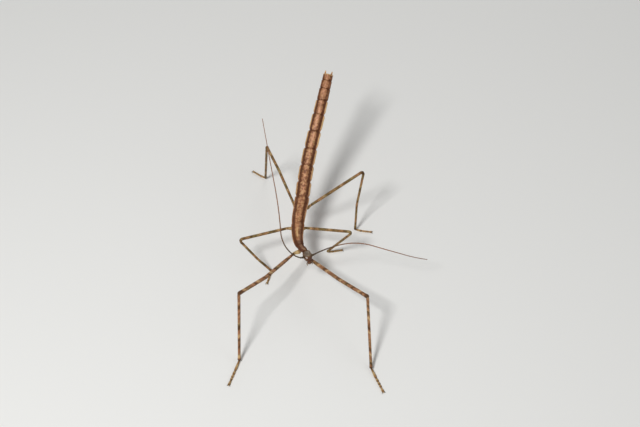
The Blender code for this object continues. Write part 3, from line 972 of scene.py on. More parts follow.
@dataclass
class Trunk:
    """Thorax and abdomen as one skin, from the neck to the tail.

    The bells down to the waist are the relief as a share of the half width, and those after it
    the strength of a mark. They run over degrees from the middle of the back towards the right,
    over mm past a joint, or over the share of a plate.
    """

    thorax: tuple[Plate, ...] = (
        Plate("prothorax", 3.6, -36.0, 3.0, 2.35, 2.85, 0.03, 0.30, 0.9, 0.0, 0.7, 0.0),
        Plate("mesothorax", 10.9, -3.0, 0.0, 3.5, 5.2, 0.02, 0.60, 0.95, 0.0, 0.4, 1.0),
        Plate("metathorax", 12.0, 10.3, 16.0, 5.0, 5.6, 0.03, 0.75, 0.9, 0.15, 0.8, 0.0),
    )
    lengths: tuple[float, ...] = (6.5, 6.9, 7.1, 7.3, 7.1, 5.9, 4.9, 3.4, 2.8)
    turns: tuple[float, ...] = (9.0, 19.3, 17.5)
    climbs: tuple[float, ...] = (24.0, 35.0, 32.0)
    widths: tuple[float, ...] = (5.65, 5.35, 4.95, 3.8)
    edges: tuple[float, ...] = (1.0, 1.0, 1.0, 1.0, 1.0, 0.9, 0.3, 0.1, 0.1)
    bands: tuple[float, ...] = (0.9, 1.0, 1.0, 1.0, 1.0, 0.9, 0.6, 0.5, 0.4)
    # how strong each ring's warm middle is, partly a painted highlight, strongest on the sixth and seventh
    # rings
    warms: tuple[float, ...] = (0.6, 0.6, 0.7, 0.85, 1.0, 1.0, 0.5, 0.5, 0.6)
    flecks: tuple[float, ...] = (1.0, 1.0, 1.0, 0.9, 0.75, 0.7, 0.5, 0.4, 0.4)
    waist_height: float = 15.2
    depth: float = 0.78
    belly: float = 0.86
    columns: int = 96
    ring_step: float = 0.115
    joint_step: float = 0.045
    joint_reach: float = 0.32
    tail_reach: float = 0.36
    tubercles: int = 260
    seed: int = 7
    flange: Bell = Bell(0.030, 82.0, 8.0)
    flange_groove: Bell = Bell(0.055, 43.0, 5.0)
    keel: Bell = Bell(0.012, 0.0, 4.0)
    swelling: Bell = Bell(0.016, 20.0, 5.0)
    belly_groove: Bell = Bell(0.035, 106.0, 8.0)
    saddle: Bell = Bell(0.030, 0.0, 34.0)
    back_fold: Bell = Bell(0.065, 0.0, 0.13)
    ring_fold: Bell = Bell(0.040, 0.0, 0.11)
    lip: Bell = Bell(0.014, -0.34, 0.16)
    wrinkles: Bell = Bell(0.006, 0.93, 0.08)
    collar: Bell = Bell(0.06, 0.42, 0.05)
    waist: Bell = Bell(0.05, 0.58, 0.012)
    # warm middle of the back: partly its own pinkish tone, partly a painted highlight, set a little to the
    # left
    core: Bell = Bell(1.0, -3.0, 12.5)
    # painted highlight down the middle of the back, on the fifth to seventh abdominal rings
    painted_highlight: Bell = Bell(0.36, -3.0, 8.0)
    band: Bell = Bell(0.78, 34.0, 13.0)
    groove: Bell = Bell(0.9, 44.0, 6.0)
    # dark crease at each joint: partly the joint's own dark colour, partly painted shade in the fold, deeper
    # where the fold is deeper
    crease: Bell = Bell(0.78, 0.0, 0.15)
    # painted shade at the sides of each joint, where the rings round off into beads
    corner: Bell = Bell(0.55, 0.0, 0.60)
    seam: Bell = Bell(0.16, 0.0, 0.36)
    light: Bell = Bell(0.5, 0.62, 0.26)
    olive: Bell = Bell(1.0, -24.0, 13.0)
    maroon: Bell = Bell(0.7, 49.0, 9.0)
    edge_starts: tuple[float, float] = (66.0, 57.0)
    edge_strengths: tuple[float, float] = (0.55, 0.90)
    lit_sides: tuple[float, float] = (0.72, 1.15)

    def __post_init__(self) -> None:
        """Lays the plates end to end and draws the centre line through them."""
        self.plates = [*self.thorax, *self._abdomen()]
        alongs = [towards_tail(plate.turn, plate.climb) for plate in self.plates]
        front = np.array((0.0, 0.0, self.waist_height))
        for plate, along in zip(self.plates[:2], alongs):
            front = front - along * plate.length
        corners = [front]
        for plate, along in zip(self.plates, alongs):
            corners.append(corners[-1] + along * plate.length)
        middles = (unit(before + after) for before, after in zip(alongs, alongs[1:]))
        leaving = [alongs[0], *middles, alongs[-1]]
        runs = [bent(*ends) for ends in zip(corners, corners[1:], leaving, leaving[1:])]
        self.plate_lines = {plate.name: Line(run) for plate, run in zip(self.plates, runs)}
        self.line = Line(np.concatenate([runs[0], *(run[1:] for run in runs[1:])]))
        self.joints = np.concatenate(([0.0], np.cumsum([line.length for line in self.plate_lines.values()])))

    def _abdomen(self) -> list[Plate]:
        """The nine free rings of the abdomen, read along the whole of it.

        Returns:
            The plates, numbered from the second.
        """
        ends = np.cumsum(self.lengths)
        plates = []
        for index, length in enumerate(self.lengths):
            shares = (ends[index] - np.array((length, 0.5 * length, 0.0))) / sum(self.lengths)
            way = (self._read(values, shares[1]) for values in (self.turns, self.climbs))
            widths = (self._read(self.widths, share) for share in shares[[0, 2]])
            looks = (values[index] for values in (self.edges, self.bands, self.warms, self.flecks))
            plates.append(Plate(f"abdomen_{index + 2:02d}", length, *way, *widths, 0.05, *looks, 0.0))
        return plates

    @staticmethod
    def _read(values: tuple[float, ...], share: float) -> float:
        """Evenly spaced values read at a share of their run."""
        return float(np.interp(share, np.linspace(0.0, 1.0, len(values)), values))

    def share_of(self, distance: Array) -> tuple[Array, Array]:
        """Which plate each distance is on, and the share of it that has been passed.

        Args:
            distance: distances along the whole line.

        Returns:
            The plates' numbers and the shares.
        """
        number = np.clip(np.searchsorted(self.joints, distance, side="right") - 1, 0, len(self.plates) - 1)
        return number, (distance - self.joints[number]) / np.diff(self.joints)[number]

    def values(self, name: str, number: Array) -> Array:
        """One value of the plates, read by their numbers."""
        return np.array([getattr(plate, name) for plate in self.plates])[number]

    def width(self, distance: Array) -> Array:
        """The full width: straight from a plate's front to its rear, with a tuck and a lip.

        Args:
            distance: distances along the whole line.

        Returns:
            The widths, in mm.
        """
        number, share = self.share_of(distance)
        front, rear = self.values("front_width", number), self.values("rear_width", number)
        lip = clipped(share - 0.6) / 0.4
        tuck = 0.5 * clipped(0.12 - share) / 0.12
        return (front + (rear - front) * share) * (1.0 + self.values("flare", number) * (lip - tuck))

    def section(self, across: Array, rise: Array) -> tuple[Array, Array]:
        """The plain ring: the cosine drawn out at the sides, and the sine flattened, more so below."""
        deep = rise * np.where(rise > 0.0, 1.0, self.belly)
        return across * (1.0 + 0.05 * np.abs(across) ** 8), deep * self.depth

    def surface(self, plate: str, share: float, angle: float) -> tuple[Array, Array]:
        """A place on a plate's surface and the outward direction there.

        Args:
            plate: the plate's name.
            share: the share of its length.
            angle: degrees up from its left side.

        Returns:
            The point in mm, and the unit direction.
        """
        number = list(self.plate_lines).index(plate)
        line = self.plate_lines[plate]
        width = float(self.width(np.array([self.joints[number] + share * line.length]))[0])
        at = line.at(share * line.length)
        across, rise = math.cos(math.radians(angle)), math.sin(math.radians(angle))
        out = unit(at.side[0] * across / width + at.up[0] * rise / (width * self.depth))
        level, up = self.section(across, rise)
        return at.place[0] + 0.5 * width * (at.side[0] * level + at.up[0] * up), out

    def joint_distance(self, distance: Array) -> Array:
        """How far each place is past the nearest joint between plates, in mm; less than 0 before it."""
        inner = self.joints[1:-1]
        return distance - inner[np.abs(distance[..., None] - inner).argmin(axis=-1)]

    def fold(self, distance: Array) -> Array:
        """How deep the folds at the joints are: slight on the first rings, full from the fifth on."""
        return 0.35 + 0.65 * ease(float(self.joints[5]), float(self.joints[7]), distance)

    def shape(self, grid: Grid) -> tuple[Array, Array]:
        """A ring of the trunk: a round back between two side flanges, folds and granules.

        Half the width times the plain ring, times 1 plus the relief: bells along the flanges and
        the middle of the back, a groove beside each flange and a fold at each joint. The rise
        over the flanges is cut down to a shelf, and their edges are scalloped ring by ring.

        Args:
            grid: the skin's grid.

        Returns:
            The width across and the rise, in mm.
        """
        distance, lean = grid.distance, np.abs(angle_from(grid.angle, BACK))
        number, share = self.share_of(distance)
        flange, abdomen = self.values("edge", number), (number > 2).astype(float)
        joint, fold = self.joint_distance(distance), self.fold(distance)
        relief = self.flange.at(lean) * flange - self.flange_groove.at(lean) * (0.3 + 0.7 * flange)
        relief += self.keel.at(lean) * (1.0 - abdomen)
        relief += self.swelling.at(lean) * (1.0 - 0.7 * abdomen)
        relief -= self.belly_groove.at(lean)
        relief -= self.back_fold.at(joint) * fold * ease(125.0, 80.0, lean)
        relief += (self.lip.at(joint) - self.ring_fold.at(joint)) * fold
        relief -= self.saddle.at(lean) * abdomen * np.abs(2.0 * share - 1.0) ** 3
        relief -= self.wrinkles.at(share) * (1.0 + np.sin(2.0 * np.pi * distance / 0.47)) * abdomen
        groove = self.collar.at(share) * (number == 0) + self.waist.at(share) * (number == 2)
        relief -= groove * ease(100.0, 80.0, lean)
        relief += self.granules(grid)
        closing = np.sqrt(clipped(1.0 - clipped((distance - self.line.length + 0.35) / self.tail_reach) ** 4))
        opening = np.sqrt(clipped(1.0 - clipped(1.0 - distance / 0.5) ** 2))
        thickness = 0.5 * self.width(distance) * (0.988 + relief) * closing * np.maximum(opening, 0.05)
        scallop = ease(0.0, 0.28, share) * ease(1.0, 0.86, share)
        tuck = 1.0 - 0.15 * flange * (1.0 - scallop) * hump(lean, 88.0, 34.0) * (0.4 + 0.6 * abdomen)
        shelf = 1.0 - 0.40 * flange * hump(lean, 61.0, 17.0)
        across, rise = self.section(grid.cos, grid.sin)
        return thickness * across * tuck, thickness * rise * shelf

    def granules(self, grid: Grid) -> Array:
        """Small round tubercles, thick on the thorax and sparse on the abdomen.

        Each is a bell in the distance along and the distance round, and all are summed.

        Args:
            grid: the skin's grid.

        Returns:
            The relief that they add.
        """
        draw, count = np.random.default_rng(self.seed), self.tubercles
        waist = float(self.joints[3])
        near = draw.random(count) < 0.72
        behind = self.line.length - waist
        along = np.where(near, draw.random(count) * waist, waist + draw.random(count) * behind)
        around = BACK + draw.normal(0.0, 34.0, count)
        size = 0.10 + 0.10 * draw.random(count)
        radius = 0.5 * self.width(along)
        arc = np.radians(angle_from(grid.angle[0][:, None] - around, 0.0)) * radius
        return hump(grid.distance[:, :1], along, size) @ (hump(arc, 0.0, size) * (0.30 * size / radius)).T

    def marks(self, grid: Grid) -> Marks:
        """Where the trunk is warm, cool, dark, pale or flecked.

        Across the back from the middle out: a warm middle, which is partly the back's own pinkish
        tone and partly a painted highlight, a dark band that is stronger on the right, a dark groove,
        then the pale flange, which is broken at each joint. A painted highlight lies on the middle of
        the fifth to seventh abdominal rings, and painted shade darkens the folds and the corners at the
        joints over their own dark colour. The front is cool and dark. The mesothorax has a pale middle
        line between an olive and a maroon streak.

        Args:
            grid: the skin's grid.

        Returns:
            The marks by name.
        """
        distance, turned = grid.distance, angle_from(grid.angle, BACK)
        lean = np.abs(turned)
        number, share = self.share_of(distance)
        joint = np.abs(self.joint_distance(distance))
        back, belly = ease(100.0, 84.0, lean), ease(-0.2, -0.5, grid.sin)
        band, warm, fleck, line = (self.values(name, number) for name in ("band", "warm", "fleck", "stripe"))
        flange = self.values("edge", number)
        edged = ease(0.2, 0.7, flange)
        start = np.where(number > 2, self.edge_starts[1], self.edge_starts[0])
        weak, strong = self.edge_strengths
        edge = ease(start, start + 8.0, lean) * ease(112.0, 98.0, lean) * edged
        edge *= ease(0.04, 0.24, share) * ease(0.98, 0.87, share)
        edge *= weak + (strong - weak) * ease(float(self.joints[3]), float(self.joints[8]), distance)
        # the warm middle: the back's own pinkish tone with a painted highlight over it
        core = self.core.at(turned) * warm * ease(0.0, 0.14, share) * ease(1.0, 0.86, share)
        # painted highlight in the middle of each of the fifth to seventh abdominal rings
        painted_highlight = self.painted_highlight.at(turned) * hump(share, 0.42, 0.3) * ((number > 5) & (number < 9))
        stripe = hump(turned, 3.0, 4.0 + 5.5 * hump(share, 0.5, 0.3)) * line
        stripe *= ease(0.20, 0.36, share) * (1.0 - 0.65 * ease(0.55, 0.95, share))
        meso = (number == 1) * ease(0.16, 0.34, share)
        olive = self.olive.at(turned) * meso
        front = (number == 1) * ease(0.30, 0.05, share) + (number == 0)
        lights = self.light.at(joint) * hump(lean, 9.0, 6.0) * (number == 2) * (share < 0.3)
        rim = ease(self.line.length - 0.75, self.line.length - 0.4, distance) * back
        dark = self.band.at(lean) * band * np.where(turned > 0.0, self.lit_sides[1], self.lit_sides[0])
        dark += self.groove.at(lean) * (0.4 + 0.6 * flange)
        # the joints' dark creases and corners: their own dark colour with painted shade in the folds
        dark += self.crease.at(joint) * (0.55 + 0.35 * hump(lean, 0.0, 12.0)) * self.fold(distance)
        dark += self.corner.at(joint) * hump(lean, 36.0, 12.0) + self.seam.at(joint)
        dark += 0.6 * ease(38.0, 58.0, lean) * (1.0 - edged * (lean > start))
        dark += self.maroon.at(turned) * meso + front * (0.34 - 0.16 * hump(lean, 0.0, 22.0))
        return {
            "warm": clipped(core + 0.5 * belly),
            "cool": clipped(0.9 * front * back + 0.7 * olive),
            "dark": clipped(dark * back) * (1.0 - 0.85 * stripe) * (1.0 - 0.5 * olive),
            "pale": clipped(0.9 * edge + 0.80 * stripe + painted_highlight + lights + 0.7 * rim),
            "fleck": clipped(fleck * (0.35 + 0.65 * back) * (1.0 - 0.7 * edge)),
        }

    def build(self, shop: Shop) -> Patch:
        """Makes the skin, with its rings closer together at the joints.

        Args:
            shop: where it is made.

        Returns:
            The patch, for the setae to grow from.
        """
        even = np.arange(0.03, self.line.length - self.tail_reach, self.ring_step)
        near = np.arange(-self.joint_reach, self.joint_reach, self.joint_step)
        close = (self.joints[1:-1, None] + near).reshape(-1)
        tail = self.line.length - self.tail_reach * (1.0 - np.linspace(0.0, 1.0, 12) ** 0.5)
        grid = Grid(self.line, np.unique(np.concatenate((even, close, tail)).round(4)), self.columns)
        patch = grid.patch(*self.shape(grid), self.marks(grid))
        shop.tubes("trunk_skin", [patch], shop.trunk, "body_shell", tuple(self.plate_lines))
        return patch


# ---- Head ----


@dataclass
class Head:
    """The head capsule with its eyes, read from the mouth back to the neck.

    The bells down to the lip's groove are the relief as a share of the half size, and those
    after it the strength of a mark. Rims and dips run over mm from the middle of an eye or a
    feeler's root, the lip's groove over the share of the length, and the rest over degrees from
    the crown's middle line towards the right.
    """

    trunk: Trunk
    length: float = 4.7
    turn: float = -17.0
    dips: tuple[float, float, float] = (3.0, 10.0, 42.0)
    width: float = 3.6
    height: float = 3.0
    outline_shares: tuple[float, ...] = (0.00, 0.10, 0.24, 0.40, 0.58, 0.78, 0.92, 1.00)
    outline_widths: tuple[float, ...] = (0.50, 0.68, 0.88, 1.00, 0.99, 0.93, 0.80, 0.62)
    outline_heights: tuple[float, ...] = (0.62, 0.78, 0.92, 1.00, 1.00, 0.93, 0.78, 0.60)
    caps: tuple[float, float] = (0.34, 0.5)
    eye_share: float = 0.47
    eye_out: float = 1.52
    eye_up: float = 0.18
    eye_radius: float = 0.60
    facet: float = 0.085
    feeler_share: float = 0.345
    feeler_angle: float = 33.0
    columns: int = 120
    rings: int = 190
    eye_rim: Bell = Bell(0.035, 0.66, 0.10)
    eye_dip: Bell = Bell(0.05, 0.0, 0.45)
    root_rim: Bell = Bell(0.060, 0.50, 0.10)
    root_dip: Bell = Bell(0.09, 0.0, 0.32)
    crown_suture: Bell = Bell(0.016, 0.0, 2.6)
    fork_suture: Bell = Bell(0.014, 2.0, 2.6)
    crown: Bell = Bell(0.020, 26.0, 13.0)
    cheek: Bell = Bell(0.018, 98.0, 12.0)
    cheek_groove: Bell = Bell(0.022, 118.0, 5.0)
    lip_groove: Bell = Bell(0.030, 0.115, 0.016)
    streak: Bell = Bell(0.8, 74.0, 9.0)
    crown_lines: Bell = Bell(0.4, 15.0, 4.0)
    right_nape: Bell = Bell(0.9, 28.0, 26.0)
    dome: Bell = Bell(1.1, 0.0, 46.0)
    pale_cheek: Bell = Bell(0.7, 98.0, 13.0)
    brow: Bell = Bell(0.45, 0.0, 24.0)

    def __post_init__(self) -> None:
        """Draws the centre line from the mouth to the neck."""
        neck_at = self.trunk.plate_lines["prothorax"].at(0.0)
        neck, neck_along = neck_at.place[0], neck_at.along[0]
        nod, level, mouth_nod = self.dips
        mouth = neck - towards_tail(self.turn, level) * self.length
        arriving = unit(neck_along + towards_tail(self.turn, nod))
        self.line = Line(bent(mouth, neck, towards_tail(self.turn, mouth_nod), arriving))

    def eye_centre(self, side: Side) -> Array:
        """The middle of an eye, in mm."""
        at = self.line.at(self.eye_share * self.line.length)
        return at.place[0] + at.side[0] * side.value * self.eye_out + at.up[0] * self.eye_up

    def sizes(self, share: Array) -> tuple[Array, Array]:
        """The full width and height, read between the outline's shares, in mm."""
        width = self.width * np.interp(share, self.outline_shares, self.outline_widths)
        return width, self.height * np.interp(share, self.outline_shares, self.outline_heights)

    def surface(self, share: float, angle: float) -> tuple[Array, Array]:
        """A place on the head and the outward direction there.

        Args:
            share: the share of the way from the mouth to the neck.
            angle: degrees up from its left side.

        Returns:
            The point in mm, and the unit direction.
        """
        at = self.line.at(share * self.line.length)
        width, height = self.sizes(share)
        across, rise = math.cos(math.radians(angle)), math.sin(math.radians(angle))
        out = unit(at.side[0] * across / width + at.up[0] * rise / height)
        return at.place[0] + 0.5 * (at.side[0] * across * width + at.up[0] * rise * height), out

    def shape(self, grid: Grid) -> tuple[Array, Array]:
        """A ring of the head: an oval with rims round eyes and feelers, sutures and cheeks.

        The two half sizes, each the mean of five readings close together, times the cosine and
        the sine, each times 1 plus the relief. A rim is a bell in the distance from its centre,
        less a wider dip inside it.

        Args:
            grid: the capsule's grid.

        Returns:
            The width across and the rise, in mm.
        """
        share, middle = grid.share, angle_from(grid.angle, BACK)
        width, height = np.mean([self.sizes(share + shift) for shift in np.linspace(-0.05, 0.05, 5)], axis=0)
        eye_angle = math.degrees(math.atan2(self.eye_up / self.height, self.eye_out / self.width))
        relief = np.zeros(share.shape)
        for way in (0.0, 180.0):
            eye = self._arc(grid, self.eye_share, abs(way - eye_angle))
            root = self._arc(grid, self.feeler_share, abs(way - self.feeler_angle))
            relief += self.eye_rim.at(eye) - self.eye_dip.at(eye)
            relief += self.root_rim.at(root) - self.root_dip.at(root)
        relief -= self.crown_suture.at(middle) * ease(0.30, 0.42, share)
        fork = self.fork_suture._replace(centre=self.fork_suture.centre + 120.0 * clipped(0.42 - share))
        relief -= fork.both(middle) * ease(0.18, 0.28, share) * (share < 0.45)
        relief += self.crown.both(middle) * hump(share, 0.72, 0.16)
        relief -= self.lip_groove.at(share) * ease(-0.2, 0.4, grid.sin)
        relief += self.cheek.both(middle) * hump(share, 0.68, 0.2) - self.cheek_groove.both(middle)
        factor = 0.5 * (0.985 + relief) * grid.fullness() * (1.0 + 0.05 * (2.0 * grid.cos * grid.sin) ** 2)
        return width * factor * grid.cos, height * factor * grid.sin * np.where(grid.sin > 0.0, 1.0, 0.94)

    def _arc(self, grid: Grid, centre_share: float, centre_angle: float) -> Array:
        """How far each place is from a centre on the head, in mm, along and round together."""
        around = np.radians(angle_from(grid.angle, centre_angle)) * 0.25 * (self.width + self.height)
        return np.hypot((grid.share - centre_share) * self.line.length, around)

    def marks(self, grid: Grid) -> Marks:
        """Where the head is warm, cool, dark, pale or flecked.

        The face before the feelers is warm, the dome behind it is grey with two dark lines and a
        pale brow, the nape is warm and darker on the right, a dark streak runs back from each
        eye, and the cheeks are pale.

        Args:
            grid: the capsule's grid.

        Returns:
            The marks by name.
        """
        share, middle = grid.share, angle_from(grid.angle, BACK)
        face = ease(0.34, 0.22, share) * ease(-0.4, 0.1, grid.sin)
        nape = ease(0.74, 0.86, share) * ease(0.0, 0.5, grid.sin)
        dark = self.streak.at(np.abs(middle)) * ease(0.5, 0.62, share)
        dark += self.crown_lines.at(np.abs(middle)) * ease(0.50, 0.6, share)
        dark += self.right_nape.at(middle) * ease(0.80, 0.90, share)
        dome = self.dome.at(middle) * ease(0.26, 0.36, share) * ease(0.82, 0.70, share)
        pale = self.pale_cheek.at(np.abs(middle)) * ease(0.1, 0.3, share)
        pale += self.brow.at(middle) * hump(share, 0.36, 0.05)
        return {
            "warm": clipped(face + 0.7 * nape),
            "cool": clipped(dome),
            "dark": clipped(dark + 0.35 * face * ease(0.14, 0.04, share)),
            "pale": clipped(pale),
            "fleck": 0.30 + 0.3 * ease(0.4, 0.7, share),
        }

    def build(self, shop: Shop) -> Patch:
        """Makes the capsule and the eyes.

        Args:
            shop: where they are made.

        Returns:
            The capsule's patch, for the setae to grow from.
        """
        grid = capped(self.line, self.caps, self.line.length / self.rings, self.columns)
        patch = grid.patch(*self.shape(grid), self.marks(grid))
        shop.tubes("head_skin", [patch], shop.head, "head_shell", ("head",))
        for side in Side:
            self.build_eye(shop, side)
        return patch

    def build_eye(self, shop: Shop, side: Side) -> None:
        """Makes one compound eye: a ball whose surface is dimpled between rows of facets.

        The radius is lowered by a small share of the mean of three cosines, each of which runs
        at 60 degrees to the next, so that the high places lie in a honeycomb.

        Args:
            shop: where it is made.
            side: which eye.
        """
        centre, radius = self.eye_centre(side), self.eye_radius
        at = self.line.at(self.eye_share * self.line.length)
        out = unit(at.side[0] * side.value + at.up[0] * 0.12) * radius
        line = Line(np.linspace(centre - out, centre + out, 60), Carry.FORWARDS, at.up[0])
        grid = Grid(line, radius * (1.0 - np.cos(np.linspace(0.02, 0.98, 90) * np.pi)), 96)
        height = grid.distance - radius
        ring = np.sqrt(np.clip(radius**2 - height**2, 0.0, None))
        across, rise = ring * grid.cos, ring * grid.sin
        waves = [
            np.cos(2.0 * np.pi / self.facet * (across * math.cos(way) + rise * math.sin(way)))
            for way in np.radians((0.0, 60.0, 120.0))
        ]
        dimple = 1.0 - 0.010 * (1.0 - sum(waves) / 3.0) * (height > 0.0)
        ball = grid.patch(across * dimple, rise * dimple, {})
        shop.tubes(f"eye_{side.label}_ball", [ball], shop.eye, "eye", (f"eye_{side.label}",))


# ---- Mouth ----


class Lobe(NamedTuple):
    """A small plate of the mouth, in mm: its length, width and height at root and tip, its notch."""

    length: float
    root: tuple[float, float]
    tip: tuple[float, float]
    notch: float


@dataclass
class Mouth:
    """The lips, jaws and palps in front of the head."""

    head: Head
    gap: float = 0.3
    upper_lip: Lobe = Lobe(0.85, (1.55, 0.50), (1.10, 0.30), 0.35)
    lower_lip: Lobe = Lobe(0.75, (0.85, 0.50), (0.62, 0.34), 0.3)
    jaw: Lobe = Lobe(0.80, (0.72, 0.56), (0.42, 0.36), 0.0)
    lip_height: float = 0.66
    root_depth: float = 0.45
    lobe_caps: tuple[float, float] = (0.15, 0.24)
    lobe_reach: float = 0.42
    palp_joints: int = 4
    palp_caps: tuple[float, float] = (0.1, 0.13)
    palp_laps: tuple[float, float] = (0.06, 0.04)
    palp_bend: float = 0.4
    outer_width: float = 0.46
    inner_width: float = 0.26

    def __post_init__(self) -> None:
        """Finds the mouth's place and sides."""
        at = self.head.line.at(0.0)
        self.ahead, self.side, self.up = -at.along[0], at.side[0], at.up[0]
        self.front = at.place[0] + self.ahead * self.gap

    def place(self, ahead: float, out: float, up: float) -> Array:
        """A place before the mouth, in mm ahead, to the left and up from its middle."""
        return self.front + self.ahead * ahead + self.side * out + self.up * up

    def plate(self, shop: Shop, name: str, node: str, place: tuple[float, float], lobe: Lobe) -> None:
        """Makes one small plate: rings that taper from its root to a rounded edge with a notch.

        An oval's rings, swollen between the axes by the square of cosine times sine, the rise
        dented in the middle towards the tip.

        Args:
            shop: where it is made.
            name: the piece's name.
            node: the solid that it replaces.
            place: how far to the left and up it stands, in mm.
            lobe: its sizes.
        """
        start = self.place(-self.root_depth, *place)
        run = np.linspace(start, start + self.ahead * (lobe.length + self.lobe_reach), 24)
        line = Line(run, Carry.FORWARDS, self.up)
        grid = capped(line, self.lobe_caps, 0.05, 40)
        width, height = (root + (tip - root) * grid.share for root, tip in zip(lobe.root, lobe.tip))
        swell = 1.0 + 0.45 * (grid.cos * grid.sin) ** 2
        dent = 1.0 - lobe.notch * hump(grid.cos, 0.0, 0.35) * ease(0.6, 1.0, grid.share)
        marks = {"warm": 0.8 - 0.3 * grid.share, "dark": 0.75 * ease(0.75, 1.0, grid.share), "fleck": 0.3}
        patch = grid.oval(width * swell, height * swell * dent, marks)
        shop.tubes(name, [patch], shop.head, "head_shell", (node,))

    def palp(
        self, shop: Shop, name: str, nodes: tuple[str, ...], start: Array, bones: list[tuple], width: float
    ) -> None:
        """Makes one palp of short joints, each swollen towards its tip and set into the next.

        Args:
            shop: where it is made.
            name: the piece's name.
            nodes: the solids that it replaces.
            start: where it grows from, in mm.
            bones: each stretch's way ahead, to the left and up, and its length in mm.
            width: its thickness, in mm.
        """
        corners = [start]
        for way, length in bones:
            corners.append(corners[-1] + unit(self.place(*way) - self.front) * length)
        bends = [self.palp_bend] * (len(corners) - 2)
        whole = Line(rounded(corners, bends)[0], Carry.FORWARDS, self.up)
        ends = np.linspace(0.0, whole.length, self.palp_joints + 1)
        patches = []
        for index, (begin, end) in enumerate(zip(ends, ends[1:])):
            start_lap, end_lap = self.palp_laps
            line = whole.part(begin - start_lap, end + end_lap, Carry.FORWARDS, whole.at(begin).up[0])
            grid = capped(line, self.palp_caps, 0.05, 24)
            thick = width * (1.0 - 0.1 * index) * (0.78 + 0.22 * ease(0.2, 0.8, grid.share))
            dark, pale = 0.8 * ease(0.3, 0.0, grid.share), 0.7 * hump(grid.share, 0.9, 0.2)
            patches.append(grid.oval(thick, thick, {"warm": 0.4, "dark": dark, "pale": pale}))
        shop.tubes(name, patches, shop.head, "head_shell", nodes)

    def build(self, shop: Shop) -> None:
        """Makes every mouth part.

        Args:
            shop: where they are made.
        """
        self.plate(shop, "upper_lip", "labrum", (0.0, self.lip_height), self.upper_lip)
        self.plate(shop, "lower_lip", "labium", (0.0, -self.lip_height), self.lower_lip)
        for side in Side:
            label, way = side.label, side.value
            self.plate(shop, f"jaw_{label}", f"mandible_{label}", (0.46 * way, 0.02), self.jaw)
            bones = [((1.0, 0.30 * way, 0.35), 0.72), ((0.7, 0.0, 1.0), 0.72)]
            root = self.place(0.0, 0.84 * way, -0.50)
            self.palp(shop, f"outer_palp_{label}", (f"palp_{label}",), root, bones, self.outer_width)
            bones = [((1.0, 0.35 * way, -0.1), 0.45), ((0.6, 0.0, 0.9), 0.4)]
            root = self.place(0.0, 0.34 * way, -0.80)
            self.palp(shop, f"inner_palp_{label}", (), root, bones, self.inner_width)


# ---- Feelers ----


